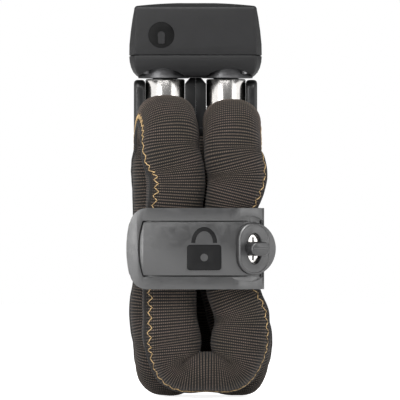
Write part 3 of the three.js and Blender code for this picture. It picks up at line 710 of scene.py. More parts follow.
def link_ring(name, start, end, broad):
    """A square-bar link between two joints, lying in the plane of its length and the broad way."""
    length = (end - start).length / MM + 2 * BAR
    along = (end - start).normalized()
    side = (broad - along * broad.dot(along)).normalized()
    up = along.cross(side)
    centre = (start + end) / 2
    mid = stadium(length - BAR, LINK_WIDTH - BAR, 8)
    wire = rounded_rect(BAR, BAR, BAR_ROUND, 2)
    rings = []
    for u, h in wire:
        rings.append([centre + (side * x + along * y + up * h) * MM for x, y in inset(mid, -u)])
    return loft(name, rings, loop=True)


FOLD_LINK_UP = 142.0              # height of the joints on both sides of an upper fold
FOLD_LINK_DOWN = 18.5             # the same for a lower fold
LOOP_LINK = 17.2                  # the same for the loop in front
LOOP_JOINTS_X = (-9.5, 20.0)
EYE_JOINT = 121.0                 # where a chain ends in the eye under its yoke


def build_chain():
    """Links hooked one through the next along the sleeve's middle line, one piece per CAD run."""
    loop_left, loop_right = ((x, -LAYER, LOOP_LINK) for x in LOOP_JOINTS_X)

    def eye(stop):
        return (stop.x, stop.y, EYE_JOINT)

    def upper(stop):
        return (stop.x, stop.y, FOLD_LINK_UP)

    def lower(stop):
        return (stop.x, stop.y, FOLD_LINK_DOWN)

    # the stops that a run follows, its first and last joint, and its number of links
    runs = {
        "back_left": (LEFT_BACK, eye(LEFT_BACK[0]), lower(LEFT_BACK[-1]), 4),
        "middle_left": (LEFT_MIDDLE, lower(LEFT_MIDDLE[0]), upper(LEFT_MIDDLE[-1]), 5),
        "front_left": (LEFT_FRONT, upper(LEFT_FRONT[0]), loop_left, 4),
        "front_right": (RIGHT_FRONT, loop_right, upper(RIGHT_FRONT[-1]), 4),
        "middle_right": (RIGHT_MIDDLE, upper(RIGHT_MIDDLE[0]), lower(RIGHT_MIDDLE[-1]), 5),
        "back_right": (RIGHT_BACK, lower(RIGHT_BACK[0]), eye(RIGHT_BACK[-1]), 4),
    }
    for run, (stops, first, last, count) in runs.items():
        line = rows_between(stops)
        joints = []
        for z in np.linspace(first[2], last[2], count + 1):
            joints.append(spot(np.interp(z, line[:, 2], line[:, 0]), first[1], z))
        joints[0], joints[-1] = spot(*first), spot(*last)
        links = []
        for i in range(count):
            broad = Vector((1, 0, 0)) if i % 2 else Vector((0, 1, 0))
            links.append(link_ring(f"chain_{run}_links", joints[i], joints[i + 1], broad))
        stand_for(join_pieces(links), "hardened", "bundle", f"chain_run_{run}")
    folds = {
        "fold_link_bottom_left": (runs["back_left"][2], runs["middle_left"][1]),
        "fold_link_top_left": (runs["middle_left"][2], runs["front_left"][1]),
        "fold_link_front": (loop_left, loop_right),
        "fold_link_top_right": (runs["front_right"][2], runs["middle_right"][1]),
        "fold_link_bottom_right": (runs["middle_right"][2], runs["back_right"][1]),
    }
    for cad_node, (first, last) in folds.items():
        broad = Vector((0, 1, 0)) if cad_node == "fold_link_front" else Vector((1, 0, 0))
        link = link_ring(f"chain_{cad_node}", spot(*first), spot(*last), broad)
        stand_for(link, "hardened", "bundle", cad_node)


def rows_between(stops):
    line = np.array([[s.x, s.y, s.z] for s in stops])
    return line[np.argsort(line[:, 2])]


def join_pieces(pieces):
    """Several separate shells as one piece."""
    bm = bmesh.new()
    for piece in pieces:
        bm.from_mesh(piece.data)
    whole = pieces[0]
    bm.to_mesh(whole.data)
    bm.free()
    for piece in pieces[1:]:
        bpy.data.objects.remove(piece)
    tidy_normals(whole, 35)
    return whole


build_chain()

# ---------- barrels, pins and yokes ----------
SHELL = box_of("barrel_shell_right")
CORE = box_of("barrel_core_right")
YOKE = box_of("yoke_right")
BACK_Y = (SHELL.y0 + SHELL.y1) / 2
BARREL_X = (SHELL.x0 + SHELL.x1) / 2
PIN = 5.0                         # radius of a locking pin
PIN_NECK = 3.2                    # radius in the groove that a bolt enters
NECK_LOW, NECK_HIGH = 180.8, 185.6
GAP = 0.3
YOKE_PIN = 3.0                    # radius of the pin across a yoke
YOKE_PIN_Z = box_of("yoke_pin_right").z0 + YOKE_PIN


def build_barrel(side, x):
    radius = (SHELL.x1 - SHELL.x0) / 2
    bore = (CORE.x1 - CORE.x0) / 2 + GAP / 2
    low, high = SHELL.z0, SHELL.z1
    edge = 0.6
    groove = low + 2.2
    outer = [
        (bore, low + 0.2), (bore + 0.2, low), (radius - edge, low), (radius - edge / 3, low + edge / 3),
        (radius, low + edge), (radius, groove),
        (radius - 0.35, groove + 0.2), (radius - 0.35, groove + 0.6),
        (radius, groove + 0.8), (radius, high - edge), (radius - edge / 3, high - edge / 3),
        (radius - edge, high), (bore + 0.2, high), (bore, high - 0.2),
    ]
    shell = turned(f"barrel_shell_{side}_polished", outer, x, BACK_Y, 96, loop=True)
    stand_for(shell, "polished", "bundle", f"barrel_shell_{side}")

    body = (CORE.x1 - CORE.x0) / 2
    profile = [
        (body - 0.5, CORE.z0), (body, CORE.z0 + 0.5), (body, SHELL.z1 - 0.4), (body - 0.4, SHELL.z1),
        (PIN + 0.4, SHELL.z1), (PIN, SHELL.z1 + 0.4), (PIN, NECK_LOW - 0.3), (PIN - 0.3, NECK_LOW),
        (PIN_NECK + 0.3, NECK_LOW), (PIN_NECK, NECK_LOW + 0.3), (PIN_NECK, NECK_HIGH - 0.3),
        (PIN_NECK + 0.3, NECK_HIGH), (PIN - 0.3, NECK_HIGH), (PIN, NECK_HIGH + 0.3),
        (PIN, CORE.z1 - 2), (PIN - 1, CORE.z1 - 0.6), (PIN - 2, CORE.z1),
    ]
    core = turned(f"barrel_core_{side}_pin", profile, x, BACK_Y, 64)
    half = BAR / 2 + GAP
    reach = 12
    slot_top = YOKE_PIN_Z + 5.3
    front, back = BACK_Y - reach, BACK_Y + reach
    slot_tool = block("slot_tool", x - half, front, CORE.z0 - 1, x + half, back, slot_top)
    bore_tool = rod(YOKE_PIN + GAP, -reach, reach, sideways(x, BACK_Y, YOKE_PIN_Z), 32)
    stand_for(carve(core, slot_tool, bore_tool), "hardened", "bundle", f"barrel_core_{side}")


EAR = 5.2                         # thickness of a yoke's ear
EAR_WIDTH = 15
YOKE_BASE_WIDTH = 31.2
YOKE_BASE_HEIGHT = 4.2
CENTRE_BLOCK_TOP = 170.0          # top of the two inner ears, which stand together
SHOULDER_DROP = 3.4               # height of the sloping shoulder of an inner ear


def ear_outline(width, height, top_round):
    """Seen from the side: straight flanks and a rounded top."""
    top = arc(width / 2 - top_round, height - top_round, top_round, 0, 90, 8)
    top += arc(-width / 2 + top_round, height - top_round, top_round, 90, 180, 8)
    return top + arc(-width / 2 + 2, 2, 2, 180, 270, 3) + arc(width / 2 - 2, 2, 2, 270, 360, 3)


def build_yoke(side, x):
    """A collar on the sleeve's end with two ears that carry the barrel's cross pin."""
    out = 1 if x > 0 else -1
    steps = 8
    outline = rounded_rect(YOKE_BASE_WIDTH, YOKE.y1 - YOKE.y0, 11, steps)
    hole = rounded_rect(20, 22, 6, steps)
    base_z = YOKE.z0
    centre = x + 0.3 * out
    base = holed_slab(
        f"yoke_{side}_moulded", outline, hole, 0, YOKE_BASE_HEIGHT, 0.8,
        lambda u, v, h: spot(centre + u, BACK_Y + v, base_z + h),
    )
    outer_at = x + out * ((SHELL.x1 - SHELL.x0) / 2 + 0.08)
    ear_height = YOKE.z1 - base_z
    outer_ear = slab(
        "outer_ear", ear_outline(EAR_WIDTH, ear_height, 5), 0, EAR + 0.9, 1.8,
        lambda u, v, h: spot(outer_at + out * h, BACK_Y + u, base_z + v),
    )
    inner_face = out * 0.01
    shoulder = CENTRE_BLOCK_TOP - base_z
    inner_ear = slab(
        "inner_ear", ear_outline(EAR_WIDTH - 1, shoulder, 4), 0, EAR + 0.45, 0.05,
        lambda u, v, h: spot(inner_face + out * h, BACK_Y + u, base_z + v),
    )
    cut_low, cut_side = shoulder - SHOULDER_DROP, 2.6
    above, past = shoulder + 0.4, EAR + 3
    wedge_face = ((cut_side, above), (past, above), (past, cut_low), (EAR + 0.5, cut_low))
    wedge_points = []
    for py in (-20, 20):
        for px, pz in wedge_face:
            wedge_points.append(spot(inner_face + out * px, BACK_Y + py, base_z + pz))
    wedge = new_piece(
        "wedge", wedge_points,
        [(0, 1, 2, 3), (7, 6, 5, 4), (0, 4, 5, 1), (1, 5, 6, 2), (2, 6, 7, 3), (3, 7, 4, 0)],
    )
    carve(inner_ear, wedge)
    piece = weld(base, outer_ear)
    soften(piece, 0.35, 2, 50)
    weld(piece, inner_ear)
    carve(piece, rod(3.25, -30, 30, sideways(x, BACK_Y, YOKE_PIN_Z), 32))
    stand_for(piece, "yoke", "bundle", f"yoke_{side}")


for side_name, side_x in (("left", -BARREL_X), ("right", BARREL_X)):
    build_barrel(side_name, side_x)
    build_yoke(side_name, side_x)

# ---------- lock head ----------
COVER = box_of("head_cover")
SKIRT = box_of("head_skirt")
HALF_WIDTH = (COVER.x1 - COVER.x0) / 2
HALF_DEPTH = (COVER.y1 - COVER.y0) / 2
CROWN = 2.6                       # how far the top bulges up
BODY = box_of("lock_body")


def ordered_section(face, bulge, depth, corner=1.5):
    """Counter-clockwise outline with both swollen sides."""
    reach = depth - corner
    side = [(face + bulge * (1 - (v / reach) ** 2), v) for v in np.linspace(-reach, reach, 13)[1:-1]]
    outline = side
    outline = outline + arc(face - corner, reach, corner, 0, 90, 5)
    outline = outline + arc(-(face - corner), reach, corner, 90, 180, 5)
    outline = outline + [(-u, -v) for u, v in side]
    outline = outline + arc(-(face - corner), -reach, corner, 180, 270, 5)
    return outline + arc(face - corner, -reach, corner, 270, 360, 5)


def crown_at(x):
    return CROWN * (1 - (x / HALF_WIDTH) ** 2)


def cover_shell():
    """Rings from the parting line up, then inwards over the crowned top."""
    low = COVER.z0
    shoulder = COVER.z1 - CROWN
    face = HALF_WIDTH - 2.4
    levels = [
        (low, face - 0.35, 2.3, HALF_DEPTH - 0.35),
        (low + 0.12, face - 0.1, 2.4, HALF_DEPTH - 0.1),
        (low + 0.4, face, 2.4, HALF_DEPTH),
        (low + 6, face, 2.3, HALF_DEPTH),
        (low + 13, face - 0.1, 1.7, HALF_DEPTH - 0.1),
        (low + 20, face - 0.3, 0.9, HALF_DEPTH - 0.2),
        (shoulder - 1.5, face - 0.5, 0.3, HALF_DEPTH - 0.3),
    ]
    rings = [[spot(u, BACK_Y + v, z) for u, v in ordered_section(f, b, d)] for z, f, b, d in levels]
    top = ordered_section(face - 0.5, 0.3, HALF_DEPTH - 0.3)
    edge = 1.5
    for amount, height in ((0.12, -0.9), (0.45, -0.42), (0.9, -0.12), (edge, 0.0)):
        rings.append([spot(u, BACK_Y + v, shoulder + height + crown_at(u)) for u, v in inset(top, amount)])
    rim = inset(top, edge)
    for share in (0.93, 0.8, 0.65, 0.5, 0.35, 0.2, 0.08, 0.01):
        rings.append(
            [spot(u * share, BACK_Y + v * share, shoulder + crown_at(u * share)) for u, v in rim]
        )
    return loft("head_cover_moulded", rings, smooth_angle=40)


def keyhole_outline(steps=48):
    """A plain keyhole: a round head over a flared foot."""
    head_radius, foot_low, foot_half = 2.0, -4.6, 1.9

    def radius_at(angle):
        x, y = math.cos(angle), math.sin(angle)
        best = head_radius
        if y < -0.2:
            # where the ray leaves the foot through its floor or flank
            floor = foot_low / y
            flank = foot_half / abs(x) if abs(x) > 1e-6 else 99
            best = max(best, min(floor, flank * 0.9 + 0.1))
        return best

    return by_angle(radius_at, steps)


EMBLEM_X, EMBLEM_Z = -18.2, 192.4
EMBLEM_RADIUS = 7.0
EMBLEM_DEPTH = 0.45
COVER_TRAVEL = 12                 # how far the keyhole cover slides
CYLINDER_RADIUS = 8.8
KEYWAY_RADIUS = 4.2


def build_cover():
    cover = cover_shell()
    front = BACK_Y - HALF_DEPTH
    wide, deep = BODY.x1 + GAP, (BODY.y1 - BODY.y0) / 2 + GAP
    cavity = block("cavity", -wide, BACK_Y - deep, COVER.z0 - 1, wide, BACK_Y + deep, BODY.z1 + GAP)
    keyhole_cover = box_of("keyhole_cover")
    above = COVER.z1 + 3
    recess_outline = rounded_rect(14 + COVER_TRAVEL + 0.8, 10.8, 1.6)
    recess = slab(
        "recess", recess_outline, keyhole_cover.z0 - GAP, above, SHARP, upright(COVER_TRAVEL / 2, BACK_Y)
    )
    keyway = rod(KEYWAY_RADIUS, BODY.z1 - 1, above, upright(0, BACK_Y))
    throat = rod(CYLINDER_RADIUS, BODY.z1 - 1, BODY.z1 + 1.8, upright(0, BACK_Y))
    place = facing_front(EMBLEM_X, front, EMBLEM_Z)
    mark_outline = circle(EMBLEM_RADIUS, 48)
    mark = holed_slab("mark", mark_outline, keyhole_outline(), -EMBLEM_DEPTH - 0.1, 2, 0.02, place)
    carve(cover, cavity, recess, keyway, throat, mark)
    stand_for(cover, "casing", "head", "head_cover")
    disc_outline = circle(EMBLEM_RADIUS - 0.04, 48)
    floor_disc = slab("emblem_disc", disc_outline, -0.7, -EMBLEM_DEPTH - 0.02, SHARP, place)
    carve(floor_disc, slab("key_gap", keyhole_outline(), -3, 3, SHARP, place))
    stand_for(floor_disc, "emblem", "head")


def build_skirt():
    face = HALF_WIDTH - 2.4
    high, low = SKIRT.z1, SKIRT.z0
    levels = [
        (high, face - 0.4, 2.3, HALF_DEPTH - 0.4),
        (high - 0.12, face - 0.15, 2.4, HALF_DEPTH - 0.15),
        (high - 0.4, face, 2.4, HALF_DEPTH - 0.05),
        (high - 3.2, face - 0.05, 2.2, HALF_DEPTH - 0.3),
        (high - 6.2, face - 0.5, 1.9, HALF_DEPTH - 1.0),
        (high - 8.8, face - 1.3, 1.4, HALF_DEPTH - 1.8),
        (high - 10.4, face - 2.3, 0.9, HALF_DEPTH - 2.5),
        (low + 0.25, face - 3.0, 0.6, HALF_DEPTH - 3.0),
        (low, face - 3.6, 0.4, HALF_DEPTH - 3.5),
    ]
    rings = [[spot(u, BACK_Y + v, z) for u, v in ordered_section(f, b, d)] for z, f, b, d in levels]
    skirt = loft("head_skirt_moulded", rings, smooth_angle=40)
    arch_half, arch_height, arch_x = 13.0, 4.5, 18.0
    radius = (arch_half**2 + arch_height**2) / (2 * arch_height)
    tools = []
    for sign in (-1, 1):
        arch_place = facing_front(sign * arch_x, BACK_Y, low + arch_height - radius)
        tools.append(rod(radius, -30, 30, arch_place, 160))
        tools.append(rod(PIN + GAP, low - 1, BODY.z0 + 2, upright(sign * BARREL_X, BACK_Y)))
    for index in (1, 2, 3, 4):
        screw = box_of(f"skirt_screw_{index}")
        at = ((screw.x0 + screw.x1) / 2, (screw.y0 + screw.y1) / 2)
        tools.append(rod(3.1, low - 2, 174.6, upright(*at), 32))
    wide, deep = BODY.x1 + GAP, (BODY.y1 - BODY.y0) / 2 + GAP
    tools.append(block("body_way", -wide, BACK_Y - deep, BODY.z0 - GAP, wide, BACK_Y + deep, high + 1))
    carve(skirt, *tools)
    stand_for(skirt, "casing", "head", "head_skirt")


def build_collar(side, sign):
    """A satin cone that guides the barrel's top into the head."""
    low = SKIRT.z0 - 0.5
    profile = [
        (7.3, low + 0.3), (7.6, low), (12.7, low), (12.9, low + 0.2), (12.85, low + 0.5),
        (12.3, low + 5.8), (12.0, low + 6.0), (7.5, low + 6.0), (7.3, low + 5.8),
    ]
    x = sign * (BARREL_X + 0.7)
    collar = turned(f"socket_ring_{side}_satin", profile, x, BACK_Y, 80, 1.06, loop=True)
    stand_for(collar, "dark_steel", "head", f"socket_ring_{side}")


def build_keyhole_cover():
    plate_box = box_of("keyhole_cover")
    outline = rounded_rect(plate_box.x1 - plate_box.x0, plate_box.y1 - plate_box.y0, 1.4)
    low = plate_box.z0
    plate = slab("keyhole_cover_plate", outline, low, low + 1.2, 0.3, upright(0, BACK_Y))
    ribs = []
    for i in range(3):
        rib = rounded_rect(0.9, 6.6, 0.44)
        ribs.append(slab("rib", rib, low + 0.8, low + 1.6, 0.25, upright(5.2 - 1.5 * i, BACK_Y)))
    stand_for(weld(plate, *ribs), "fastener", "keyhole_cover", "keyhole_cover")


build_cover()
build_skirt()
build_collar("left", -1)
build_collar("right", 1)
build_keyhole_cover()

# ---------- strap ----------
BAND = box_of("strap_band")
STRAP_Z = (BAND.z0 + BAND.z1) / 2
STRAP_HALF = (BAND.z1 - BAND.z0) / 2
knob_joint = next(j for j in frame["joints"] if j["name"] == "knob_turn")
TURN_OUT = Vector(knob_joint["axis"]).normalized()
TURN_ALONG = Vector((-TURN_OUT.y, TURN_OUT.x, 0))
TURN_AT = Vector(knob_joint["pos_m"])
TURN_X = TURN_AT.x / MM
TURN_Y = (TURN_AT.y - MIDDLE_Y) / MM
SHEET = 2.4                       # thickness of the band
BASE_FRONT = -48.1                # front of the band itself, behind the tongue
BAR_FRONT = -50.9                 # front of the loop's two bars
TONGUE = 1.8                      # thickness of the tongue
NARROWING = 8.5                   # how much lower each edge of the band is on the left side
LOOP_END_X = -36.2                # left end of the loop in front
LOOP_END_SAG = 62                 # radius of its shallow arc
LOOP_ROUND = 9.2                  # radius of its corners
WINDOW_HALF = 14.75               # half the height of the loop's window
WINDOW_SAG = 46                   # radius of the window's left end
SEAT_RADIUS = 17.4                # round hollow in the bars around the fastener


def across_turn(u, v, height):
    """A place() on the fastener: u along the tongue, v up, height out of its face."""
    return TURN_AT + (TURN_ALONG * u + TURN_OUT * height + Vector((0, 0, v))) * MM


def corner_curve(x0, y0, slope, x1, y1, steps):
    """A bend from a point and slope to an upright wall at x1, reached at y1."""
    points = []
    length = (x1 - x0) * 1.35
    ax, ay = x0 + length * math.cos(slope) * 0.6, y0 + length * math.sin(slope) * 0.6
    bx, by = x1, y1 - (y1 - y0) * 0.55
    for i in range(1, steps + 1):
        t = i / steps
        a, b, c, d = (1 - t) ** 3, 3 * (1 - t) ** 2 * t, 3 * (1 - t) * t * t, t**3
        points.append((a * x0 + b * ax + c * bx + d * x1, a * y0 + b * ay + c * by + d * y1))
    return points


def band_plan():
    """The band's outer line seen from above, counter-clockwise from the middle of the front."""
    half_x = 35.1
    back = -BASE_FRONT
    seat_x, seat_drop, power = 28.7, 2.4, 5.57
    front_right = [(x, BASE_FRONT + seat_drop * (x / seat_x) ** power) for x in np.linspace(0, seat_x, 16)]
    slope = math.atan(power * seat_drop / seat_x)
    right = front_right + corner_curve(*front_right[-1], slope, half_x, -33, 8)
    right += [(half_x + 0.25 * math.sin(math.pi * i / 12), -33 + 5.5 * i) for i in range(1, 12)]
    right += arc(half_x - 14.5, back - 14.5, 14.5, 0, 90, 10)
    back_line = [(x, back) for x in np.linspace(half_x - 14.5, 0, 8)[1:]]
    right += back_line
    left = [(-x, y) for x, y in reversed(right)]
    return right + left[1:-1]


def build_band():
    """The band round the bundle with the loop's two bars and round end welded on in front."""
    plan = band_plan()
    def trim(x):
        """The band is narrower on the left side, behind the loop's round end."""
        return NARROWING * min(1, max(0, (-x - 24) / 9))

    low, high = BAND.z0, BAND.z1
    outside = edge_steps(low, high, 0.8)
    inside = [(SHEET - amount, height) for amount, height in reversed(outside)]
    rings = []
    for amount, height in outside + inside:
        way = 1 if height < STRAP_Z else -1
        rings.append([spot(x, y, height + way * trim(x)) for x, y in inset(plan, amount)])
    band = loft("strap_band_rubber", rings, loop=True)

    # bars: a curved sheet cut to the loop's outline
    left_end = -37.0
    xs = np.linspace(left_end, 20, 30)
    front = [(x, BAR_FRONT + 0.0014 * x * x + 0.9 * max(0, (-x - 24) / 12) ** 2) for x in xs]
    bars_out = -1.0
    for along in (-6.5, -4, -2, 0, 2, 3.6):
        x = TURN_X + TURN_ALONG.x * along + TURN_OUT.x * bars_out
        y = TURN_Y + TURN_ALONG.y * along + TURN_OUT.y * bars_out
        front.append((x, y))
    front += [(35.1, -43.2), (35.9, -40.5), (36.1, -37.4)]
    behind = [(35.4, -37.4), (34.3, -41), (31.5, -43.2), (27, -45.2), (20, -46.6)]
    behind += [(x, BASE_FRONT + 0.8) for x in np.linspace(14, -24, 10)] + [(-31, -46.4), (left_end, -44.6)]
    bars = loft(
        "bars", [[spot(x, y, z) for x, y in front + behind] for z in (low + 0.02, high - 0.02)]
    )
    corner_x, corner_z = -25.2, STRAP_HALF - LOOP_ROUND
    outer = arc(corner_x, STRAP_Z + corner_z, LOOP_ROUND, 90, 168, 10)
    outer += arc(LOOP_END_X + LOOP_END_SAG, STRAP_Z, LOOP_END_SAG, 168, 192, 14)
    outer += arc(corner_x, STRAP_Z - corner_z, LOOP_ROUND, 192, 270, 10)
    outer += [(60, STRAP_Z - STRAP_HALF), (60, STRAP_Z + STRAP_HALF)]
    from_front = facing_front(0, 0, STRAP_Z)
    keep = slab("keep", [(u, v - STRAP_Z) for u, v in outer][::-1], 20, 70, SHARP, from_front)
    combine(bars, [keep], "INTERSECT")
    swing = math.degrees(math.asin(WINDOW_HALF / WINDOW_SAG))
    window = arc(-30.0 + WINDOW_SAG, 0, WINDOW_SAG, 180 - swing, 180 + swing, 14)
    window += [(60, -WINDOW_HALF), (60, WINDOW_HALF)]
    window_tool = slab("window", window[::-1], 40, 70, SHARP, from_front)
    seat_tool = rod(SEAT_RADIUS, -2.15, 9, lambda u, v, h: across_turn(u - 2.2, v, h), 96)
    carve(bars, window_tool, seat_tool)
    weld(band, bars)
    soften(band, 0.55, 3, 38)
    cup = box_of("turn_base_cup")
    cup_radius = (cup.z1 - cup.z0) / 2 + GAP
    carve(band, rod(cup_radius, -9, -2.95, across_turn, 64))
    stand_for(band, "strap", "bundle", "strap_band")


def tongue_front(x):
    """How far forward the tongue's face stands: sunk at its root, level with the bars further on."""
    dip = max(0, (-9 - x) / 20)
    return BASE_FRONT - GAP - TONGUE + 2.0 * dip**1.5


def tongue_line():
    """Front line of the tongue from above: (x, y, distance along it)."""
    bend_x = TURN_X - (TURN_Y - (BASE_FRONT - GAP - TONGUE)) / math.tan(math.acos(TURN_ALONG.x))
    points = [(x, tongue_front(x)) for x in np.linspace(-29.2, bend_x - 5, 26)]
    steps = 6
    tilt = math.acos(TURN_ALONG.x)
    start = points[-1]
    end = (bend_x + 5 * math.cos(tilt), start[1] + 5 * math.sin(tilt))
    for i in range(1, steps + 1):
        t = i / steps
        points.append(
            (
                (1 - t) ** 2 * start[0] + 2 * (1 - t) * t * bend_x + t * t * end[0],
                (1 - t) ** 2 * start[1] + 2 * (1 - t) * t * start[1] + t * t * end[1],
            )
        )
    for along in np.linspace(1, 15.2, 14):
        points.append((end[0] + along * math.cos(tilt), end[1] + along * math.sin(tilt)))
    return points


def build_tongue():
    """A rubber tongue with a round tab, and a plain padlock with a dark floor sunk in its face."""
    line = tongue_line()
    half = box_of("strap_tongue").z1 - STRAP_Z
    rings = []
    count = len(line)
    for i, (x, y) in enumerate(line):
        x0, y0 = line[max(i - 1, 0)]
        x1, y1 = line[min(i + 1, count - 1)]
        length = math.hypot(x1 - x0, y1 - y0)
        back_x, back_y = -(y1 - y0) / length, (x1 - x0) / length
        rings.append([(x + back_x * d, y + back_y * d) for d in (0, TONGUE)])
    points, faces = [], []
    levels = [-half - 1, half + 1]
    for ring in rings:
        for z in levels:
            for x, y in ring:
                points.append(spot(x, y, STRAP_Z + z))
    for i in range(count - 1):
        a, b = 4 * i, 4 * (i + 1)
        faces += [(a, a + 1, b + 1, b), (a + 2, a + 3, b + 3, b + 2)]
        faces += [(a, a + 2, b + 2, b), (a + 1, a + 3, b + 3, b + 1)]
    faces += [(0, 1, 3, 2), tuple(4 * (count - 1) + k for k in (0, 1, 3, 2))]
    tongue = new_piece("strap_tongue_rubber", points, faces)
    # trimmed to its outline: a hollow root that follows the window's arc and a half-round tab
    swing = math.degrees(math.asin(half / WINDOW_SAG))
    root = arc(-29.5 + WINDOW_SAG, 0, WINDOW_SAG, 180 - swing, 180 + swing, 12)
    tab_reach = 13.9 * TURN_ALONG.x
    tab = []
    for angle in np.linspace(-math.pi / 2, math.pi / 2, 30):
        tab.append((TURN_X + tab_reach * math.cos(angle), half * math.sin(angle)))
    keep = slab("keep", root + tab, 20, 70, SHARP, facing_front(0, 0, STRAP_Z))
    combine(tongue, [keep], "INTERSECT")
    carve(tongue, rod(2.2, -6, 6, across_turn))
    soften(tongue, 0.35, 2, 38)
    carve(tongue, *padlock_mark(-0.4, 3))
    inlay = weld(*padlock_mark(-0.7, -0.37))
    stand_for(inlay, "panel_mark", "tongue")
    stand_for(tongue, "strap", "tongue", "strap_tongue")


MARK_X = 4.6
MARK_DROP = 4.6                   # from the strap's middle down to the middle of the body


def half_ring(half_u, half_v, start, end):
    angles = np.linspace(start, end, 20)
    return [(half_u * math.cos(a), 7.6 + half_v * math.sin(a)) for a in angles]


def padlock_mark(low, high):
    """A plain padlock as two shapes: a body with a round keyhole left open, and a bow above it."""
    place = facing_front(MARK_X, BASE_FRONT - GAP - TONGUE, STRAP_Z - MARK_DROP)
    body_outline = rounded_rect(18, 13.4, 1.6, 5)
    gap_outline = circle(2.0, len(body_outline))
    ordered = sorted(body_outline, key=lambda p: math.atan2(p[1], p[0]) % (2 * math.pi))
    body = holed_slab("mark_body", ordered, gap_outline, low, high, 0.02, place)
    bow_outline = half_ring(6.8, 8.4, 0, math.pi) + half_ring(4.6, 6.2, math.pi, 0)
    bow = slab("mark_bow", bow_outline, low, high, 0.02, place)
    return [body, bow]


build_band()
build_tongue()


# ---------- quarter-turn fastener ----------
def ellipse(half_u, half_v, count):
    angles = [2 * math.pi * i / count for i in range(count)]
    return [(half_u * math.cos(a), half_v * math.sin(a)) for a in angles]


def build_fastener():
    count = 72
    half_height = 13.8
    half_width = 9.1
    straight = half_height - half_width

    def plate_radius(angle):
        """Distance to a stadium's edge along a ray from its middle."""
        c, s = abs(math.cos(angle)), abs(math.sin(angle))
        if c * straight > s * half_width - 1e-9 and c > 1e-9 and half_width * s / c <= straight:
            return half_width / c
        return straight * s + math.sqrt(max(0, half_width**2 - (straight * c) ** 2))

    face = 3.5
    outline = by_angle(plate_radius, count)
    hole_u, hole_v = 3.9, 7.6
    hole = ellipse(hole_u, hole_v, count)
    wall = ((0.25, 0.3), (0, 0.55), (0, 2.7), (0.12, 3.0), (0.4, 3.2))
    rim = ((0.75, face), (1.05, face), (1.3, face - 0.22), (1.6, face - 0.22))
    rings = ring_stack(outline, wall + rim, across_turn)
    # a raised lip around the hole, then the hole itself and the room for the disc behind it
    lip = ((1.0, face - 0.22), (0.7, face - 0.12), (0.2, face - 0.5), (0, face - 1.0))
    disc_room = ((0, 1.5), (3.6, 1.45), (3.6, 0.3))
    for grow, height in lip + disc_room:
        ring = [(u * (1 + grow / hole_u), v * (1 + grow / hole_v)) for u, v in hole]
        rings.append([across_turn(u, v, height) for u, v in ring])
    plate = loft("turn_plate_moulded", rings, loop=True, smooth_angle=28)
    stand_for(plate, "fastener", "tongue", "turn_plate")

    disc = slab("turn_disc_polished", circle(7.3, 64), 0.32, 1.28, 0.12, across_turn)
    slit = slab("slit", rounded_rect(1.1, 12.4, 0.5), -2, 4, SHARP, across_turn)
    shaft_way = rod(2.15, -2, 4, across_turn)
    stand_for(carve(disc, slit, shaft_way), "polished", "tongue", "turn_disc")

    knob_outline = [(v, u) for u, v in stadium(11, 7.6, 20)][::-1]
    foot = ((0.5, 3.8), (0.1, 3.95), (0, 4.3))
    top = ((0.1, 10.2), (0.25, 10.8), (0.6, 11.2), (1.0, 11.4))
    rings = ring_stack(knob_outline, foot + top, across_turn)
    knob = loft("turn_knob_moulded", rings, smooth_angle=30)
    ridge_outline = [(v, u) for u, v in stadium(9.2, 1.3, 8)][::-1]
    ridge = slab("ridge", ridge_outline, 11.0, 11.75, 0.25, across_turn)
    shaft = slab("shaft", circle(1.9, 40), -3.0, 4.6, 0.1, across_turn)
    stand_for(weld(knob, ridge, shaft), "fastener", "knob", "turn_knob")


build_fastener()


# ---------- camera, light and floor ----------
def brighter_to_the_eye(tree, socket, lit, seen):
    """One strength for light that falls on the object and another for what the camera sees."""
    camera_ray = node(tree, "ShaderNodeLightPath").outputs["Is Camera Ray"]
    tree.links.new(spread(tree, camera_ray, lit, seen, 0, 1), socket)


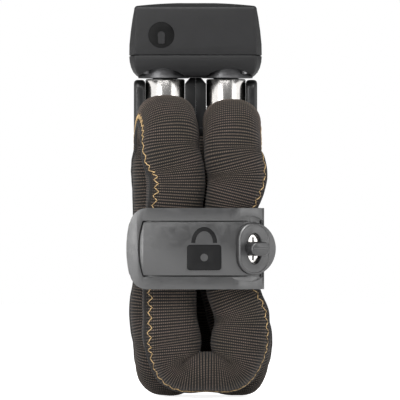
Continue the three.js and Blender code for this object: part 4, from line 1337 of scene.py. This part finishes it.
def build_studio():
    scene = bpy.context.scene
    scene.view_settings.view_transform = "Standard"
    distance = 3500                # from the camera to the head
    seen_width = 213.2             # millimetres across the whole picture, at the head
    view = bpy.data.cameras.new("front_view")
    view.sensor_width = 36
    view.lens = view.sensor_width * distance / seen_width
    view.clip_end = 20
    camera = bpy.data.objects.new("front_view", view)
    camera.location = spot(2.4, 13 - distance, 104.5)
    camera.rotation_euler = (math.pi / 2, 0, 0)
    scene.collection.objects.link(camera)
    scene.camera = camera

    world = bpy.data.worlds.new("white_room")
    scene.world = world
    world.use_nodes = True
    background = world.node_tree.nodes["Background"]
    background.inputs["Color"].default_value = (1, 1, 1, 1)
    brighter_to_the_eye(world.node_tree, background.inputs["Strength"], 0.22, 1.0)

    def softbox(name, place, target, width, height, power):
        lamp = bpy.data.lights.new(name, "AREA")
        lamp.shape = "RECTANGLE"
        lamp.size = width
        lamp.size_y = height
        lamp.energy = power
        box = bpy.data.objects.new(name, lamp)
        box.location = place
        box.rotation_euler = (Vector(target) - Vector(place)).to_track_quat("-Z", "Y").to_euler()
        scene.collection.objects.link(box)

    softbox("left_wall", (-0.75, -0.25, 0.08), (0, -0.25, 0.08), 1.4, 1.3, 7.5)
    softbox("right_wall", (0.75, -0.25, 0.08), (0, -0.25, 0.08), 1.4, 1.3, 7.5)
    softbox("front_left", (-1.0, -1.65, 0.1), (0, -0.1, 0), 0.6, 1.2, 19)
    softbox("front_right", (1.4, -1.2, 0.1), (0, -0.1, 0), 0.6, 1.2, 6)
    softbox("front_top", (-0.1, -0.95, 1.05), (0, 0, 0.0), 1.1, 0.7, 26)

    half = 3
    corners = ((-half, -half), (half, -half), (half, half), (-half, half))
    floor = new_piece("floor", [Vector((x, y, FLOOR)) for x, y in corners], [(0, 1, 2, 3)])
    look, tree, shader = new_look("pale_floor", (0.93, 0.93, 0.93, 1), 0.9)
    shader.inputs["Specular IOR Level"].default_value = 0.1
    shader.inputs["Emission Color"].default_value = (1, 1, 1, 1)
    brighter_to_the_eye(tree, shader.inputs["Emission Strength"], 0.15, 0.8)
    floor.data.materials.append(look)


build_studio()
